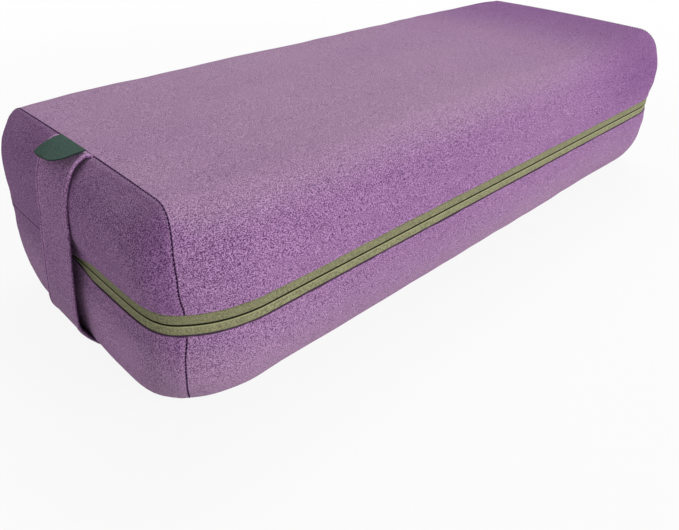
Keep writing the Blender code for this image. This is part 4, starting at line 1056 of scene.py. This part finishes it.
def place_floor(colour):
    """A wide pale floor that shows near white to the camera and keeps a soft shadow."""
    floor = Finish("floor", 0.0, base_color=shaded(colour), roughness=0.9)
    glow = floor.add("ShaderNodeEmission", {"Color": (1.0, 1.0, 1.0, 1.0), "Strength": 1.0})
    away = floor.add("ShaderNodeVectorMath", {0: floor.position()}, operation="LENGTH")
    glowing = floor.remap(away.outputs["Value"], *FLOOR_WHITENS, FLOOR_GLOW, 1.0)
    keys = {0: floor.times(floor.seen(), glowing), 1: floor.shader.outputs[0], 2: glow.outputs[0]}
    mix = floor.add("ShaderNodeMixShader", keys)
    floor.feed(floor.tree.nodes["Material Output"].inputs[0], mix.outputs[0])
    mesh, reach = bpy.data.meshes.new("floor"), FLOOR_REACH
    corners = [(-reach, -reach, 0), (reach, -reach, 0), (reach, reach, 0), (-reach, reach, 0)]
    mesh.from_pydata(corners, [], [(0, 1, 2, 3)])
    mesh.materials.append(floor.material)
    add_object("floor", mesh)


def light_world(scene, strength):
    """Even pale light all round, white to the camera."""
    world = bpy.data.worlds.new("studio")
    world.use_nodes = True
    nodes = Nodes(world.node_tree)
    background = world.node_tree.nodes["Background"]
    background.inputs["Color"].default_value = (1.0, 1.0, 1.0, 1.0)
    nodes.feed(background.inputs["Strength"], nodes.remap(nodes.seen(), 0.0, 1.0, strength, 1.0))
    scene.world = world


def add_lamp(name, place, size, power):
    """A large soft lamp aimed at the bolster."""
    lamp = bpy.data.lights.new(name, "AREA")
    lamp.shape, lamp.size, lamp.energy = "SQUARE", size, power
    holder = add_object(name, lamp)
    holder.location = place
    holder.rotation_mode = "QUATERNION"
    aim = Vector((0, 0, BODY_HEIGHT / 2)) - Vector(place)
    holder.rotation_quaternion = aim.to_track_quat("-Z", "Y")


def place_camera(scene):
    """The camera at the photograph's place, aimed by its yaw, pitch and roll."""
    yaw, pitch, roll = CAMERA_TURNS
    level = Vector((math.sin(yaw), -math.cos(yaw), 0))
    reach = math.cos(pitch)
    ahead = Vector((math.cos(yaw) * reach, math.sin(yaw) * reach, math.sin(pitch)))
    above = level.cross(ahead)
    right = level * math.cos(roll) + above * math.sin(roll)
    up = above * math.cos(roll) - level * math.sin(roll)
    camera = bpy.data.cameras.new("camera")
    width, height = PHOTO_SIZE
    camera.sensor_width, camera.lens = SENSOR_WIDTH, SENSOR_WIDTH * FOCAL_PIXELS / width
    camera.shift_x = (width / 2 - OPTICAL_MIDDLE[0]) / width
    camera.shift_y = (OPTICAL_MIDDLE[1] - height / 2) / width
    camera.clip_start, camera.clip_end = 0.01, 50.0
    holder = add_object("camera", camera)
    turn = Matrix((right, up, -ahead)).transposed().to_4x4()
    holder.matrix_world = Matrix.Translation(CAMERA_PLACE) @ turn
    scene.camera = holder


# Settings


KINDS = {
    "colour": {"subtype": "COLOR", "size": 3, "min": 0, "max": 1},
    "length": {"unit": "LENGTH", "precision": 5, "min": 0},
    "share": {"subtype": "FACTOR", "min": 0, "max": 1},
    "power": {"unit": "POWER", "min": 0},
}


def setting(kind, name, description, default):
    """A colour, length, share or power that the user may change."""
    make = bpy.props.FloatVectorProperty if kind == "colour" else bpy.props.FloatProperty
    return make(name=name, description=description, default=default, **KINDS[kind])


class BolsterCoverSettings(bpy.types.PropertyGroup):
    """Look of the suede cover and handles."""

    colour: setting("colour", "Suede", "Colour of the suede", (0.335, 0.178, 0.356))
    # Tint of the sheen, and colour of the brushed patches and of the painted light on the top and
    # low ends
    sheen_colour: setting("colour", "Brushed", "Nap where it is brushed light", (0.52, 0.38, 0.47))
    # Colour of rubbed nap, of painted highlights and of painted bounce light
    rubbed_colour: setting("colour", "Rubbed", "Nap where hands have rubbed it", (0.58, 0.34, 0.58))
    # Colour of the painted shade in seams, folds and on the handles, and of the handles' thread
    tuck_colour: setting("colour", "Tucked", "Nap where a seam draws it in", (0.17, 0.055, 0.21))
    mottle: setting("share", "Mottle", "Strength of the fine mottle", 0.85)
    unevenness: setting("length", "Unevenness", "Height of the filling's soft unevenness", 0.0006)
    pucker: setting("length", "Pucker", "Height of the puckers beside the seams", 0.00028)
    # Strength of the painted shade beside the end seams, along the top, over the ends' back halves
    # and on the handles
    tuck: setting("share", "Tuck", "Shade of the end panels beside their seams", 0.42)
    # Strength of the handles' rubbing and painted highlights, and of the ends' painted bounce light
    rub: setting("share", "Rub", "Paleness of the rubbed handles and low ends", 0.24)
    hem: setting("length", "Hem", "Distance of the handles' stitching from their rims", 0.0020)


class BolsterZipSettings(bpy.types.PropertyGroup):
    """Look of the zip."""

    tape_colour: setting("colour", "Tape", "Colour of the zip's tapes", (0.40, 0.395, 0.215))
    chain_colour: setting("colour", "Chain", "Colour of the nylon chain", (0.03, 0.03, 0.025))
    metal_colour: setting("colour", "Metal", "Colour of the slider and pull", (0.42, 0.41, 0.38))
    pitch: setting("length", "Pitch", "Distance between the chain's turns", 0.0015)


class BolsterTrimSettings(bpy.types.PropertyGroup):
    """Look of the label and the thread."""

    label_colour: setting("colour", "Label", "Colour of the label", (0.045, 0.104, 0.080))
    thread_colour: setting("colour", "Thread", "Colour of the sewing thread", (0.040, 0.005, 0.065))
    stitch: setting("length", "Stitch", "Length of one stitch", 0.0019)
    pitch: setting("length", "Pitch", "Distance from stitch to stitch", 0.0028)


class BolsterStageSettings(bpy.types.PropertyGroup):
    """Floor and lamps."""

    floor_colour: setting("colour", "Floor", "Colour of the floor", (0.90, 0.90, 0.90))
    main_power: setting("power", "Main lamp", "Power of the main lamp", 108.0)
    top_power: setting("power", "Top lamp", "Power of the lamp above", 40.0)
    sky: setting("share", "Surrounding light", "Strength of the even light", 0.28)


# Operators


class BOLSTER_OT_cover(bpy.types.Operator):
    """Build the suede wraps and end panels of the cover"""

    bl_idname = "bolster.cover"
    bl_label = "Cover"

    def execute(self, context):
        settings = context.scene.bolster_cover
        suede, face = suede_material(settings), EndFace(1.0)
        for level, half in LEVEL_NAMES.items():
            made = [(build_wrap(level, settings), f"cover_{half}")]
            for end, name in END_NAMES.items():
                panel = build_end_panel(end, level, face, settings)
                made.append((panel, f"end_panel_{name}_{half}"))
            for piece, node in made:
                finish_piece(piece, "body", "suede", suede, node)
        return {"FINISHED"}


class BOLSTER_OT_thread(bpy.types.Operator):
    """Sew the seams round the ends"""

    bl_idname = "bolster.thread"
    bl_label = "Thread"

    def execute(self, context):
        trim, face = context.scene.bolster_trim, EndFace(1.0)
        thread = thread_material("sewing_thread", trim.thread_colour)
        for end, name in END_NAMES.items():
            runs = [seam_run(end, level, face) for level in (UP, DOWN)]
            piece = stitches(f"seam_{name}_thread", runs, trim.stitch, trim.pitch, SEAM_THREAD)
            finish_piece(piece, "body", "suede", thread)
        return {"FINISHED"}


class BOLSTER_OT_zip(bpy.types.Operator):
    """Build the zip's tapes and chain and finish its metal"""

    bl_idname = "bolster.zip"
    bl_label = "Zip"

    def execute(self, context):
        settings, face = context.scene.bolster_zip, EndFace(1.0)
        tape = tape_material(settings)
        for level, half in LEVEL_NAMES.items():
            finish_piece(build_tape(level, face), "body", "zip_tape", tape, f"zip_tape_{half}")
        chain = grained_material(
            "zip_chain_nylon", settings.chain_colour, 900.0, 0.25, 0.3, roughness=0.4
        )
        finish_piece(build_teeth(face, settings.pitch), "body", "zip_coil", chain)
        metal = grained_material(
            "zip_cast_metal", settings.metal_colour, 700.0, 0.12, 0.15, roughness=0.34, metallic=1.0
        )
        cast = ("zip_slider", "zip_pull", "zip_top_stop", "zip_bottom_stop")
        coat_nodes({"zip_coil": chain, **dict.fromkeys(cast, metal)})
        for node in cast[:2]:
            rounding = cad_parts[node].modifiers.new("worn_edges", "BEVEL")
            rounding.width, rounding.segments, rounding.limit_method = 0.00018, 2, "ANGLE"
        return {"FINISHED"}


class BOLSTER_OT_handles(bpy.types.Operator):
    """Build the two hemmed carry handles and their stitching"""

    bl_idname = "bolster.handles"
    bl_label = "Handles"

    def execute(self, context):
        settings, trim = context.scene.bolster_cover, context.scene.bolster_trim
        suede, plain = suede_material(settings), EndFace(0.0)
        thread = thread_material("handle_thread", settings.tuck_colour)
        for end, name in END_NAMES.items():
            line = handle_line(end, plain)
            out = out_of_line(line, end)
            piece = build_handle(name, line, out, settings)
            finish_piece(piece, "body", "suede", suede, f"handle_{name}")
            runs = handle_seams(line, out, settings.hem)
            piece = stitches(f"handle_{name}_thread", runs, trim.stitch, trim.pitch, HANDLE_THREAD)
            finish_piece(piece, "body", "suede", thread)
        return {"FINISHED"}


class BOLSTER_OT_label(bpy.types.Operator):
    """Build the bare folded label"""

    bl_idname = "bolster.label"
    bl_label = "Label"

    def execute(self, context):
        satin = label_material(context.scene.bolster_trim)
        finish_piece(build_label(), "label", "label", satin, "label_tab")
        return {"FINISHED"}


class BOLSTER_OT_filling(bpy.types.Operator):
    """Finish the liner, wadding and foam inside"""

    bl_idname = "bolster.filling"
    bl_label = "Filling"

    def execute(self, context):
        coat_nodes({
            start: grained_material(name, *look, gloss=0.1, roughness=roughness)
            for start, name, roughness, *look in FILLING
        })
        return {"FINISHED"}


class BOLSTER_OT_stage(bpy.types.Operator):
    """Set the floor, the lamps and the camera"""

    bl_idname = "bolster.stage"
    bl_label = "Stage"

    def execute(self, context):
        settings, scene = context.scene.bolster_stage, context.scene
        scene.view_settings.view_transform = "Standard"
        place_floor(settings.floor_colour)
        light_world(scene, settings.sky)
        add_lamp("main_lamp", (1.2, -4.0, 1.6), 2.4, settings.main_power)
        add_lamp("top_lamp", (1.2, 0.9, 2.8), 2.0, settings.top_power)
        place_camera(scene)
        return {"FINISHED"}


class BOLSTER_PT_panel(bpy.types.Panel):
    """Lists the bolster's pieces and settings."""

    bl_idname = "BOLSTER_PT_panel"
    bl_label = "Yoga bolster"
    bl_space_type = "VIEW_3D"
    bl_region_type = "UI"
    bl_category = "Bolster"

    def draw(self, context):
        for operator in OPERATORS:
            self.layout.operator(operator.bl_idname)
        for key, group in SETTINGS.items():
            box = self.layout.box()
            for name in group.__annotations__:
                box.prop(getattr(context.scene, key), name)


SETTINGS = {
    "bolster_cover": BolsterCoverSettings,
    "bolster_zip": BolsterZipSettings,
    "bolster_trim": BolsterTrimSettings,
    "bolster_stage": BolsterStageSettings,
}
OPERATORS = (
    BOLSTER_OT_cover, BOLSTER_OT_thread, BOLSTER_OT_zip, BOLSTER_OT_handles,
    BOLSTER_OT_label, BOLSTER_OT_filling, BOLSTER_OT_stage,
)


def register():
    """Register the settings, operators and panel."""
    for key, group in SETTINGS.items():
        bpy.utils.register_class(group)
        setattr(bpy.types.Scene, key, bpy.props.PointerProperty(type=group))
    for shown in (*OPERATORS, BOLSTER_PT_panel):
        bpy.utils.register_class(shown)


def unregister():
    """Unregister the panel, operators and settings."""
    for shown in (BOLSTER_PT_panel, *reversed(OPERATORS)):
        bpy.utils.unregister_class(shown)
    for key, group in SETTINGS.items():
        delattr(bpy.types.Scene, key)
        bpy.utils.unregister_class(group)


def main():
    """Build every piece in order."""
    register()
    bpy.ops.bolster.cover()
    bpy.ops.bolster.thread()
    bpy.ops.bolster.zip()
    bpy.ops.bolster.handles()
    bpy.ops.bolster.label()
    bpy.ops.bolster.filling()
    bpy.ops.bolster.stage()


if __name__ == "__main__":
    main()
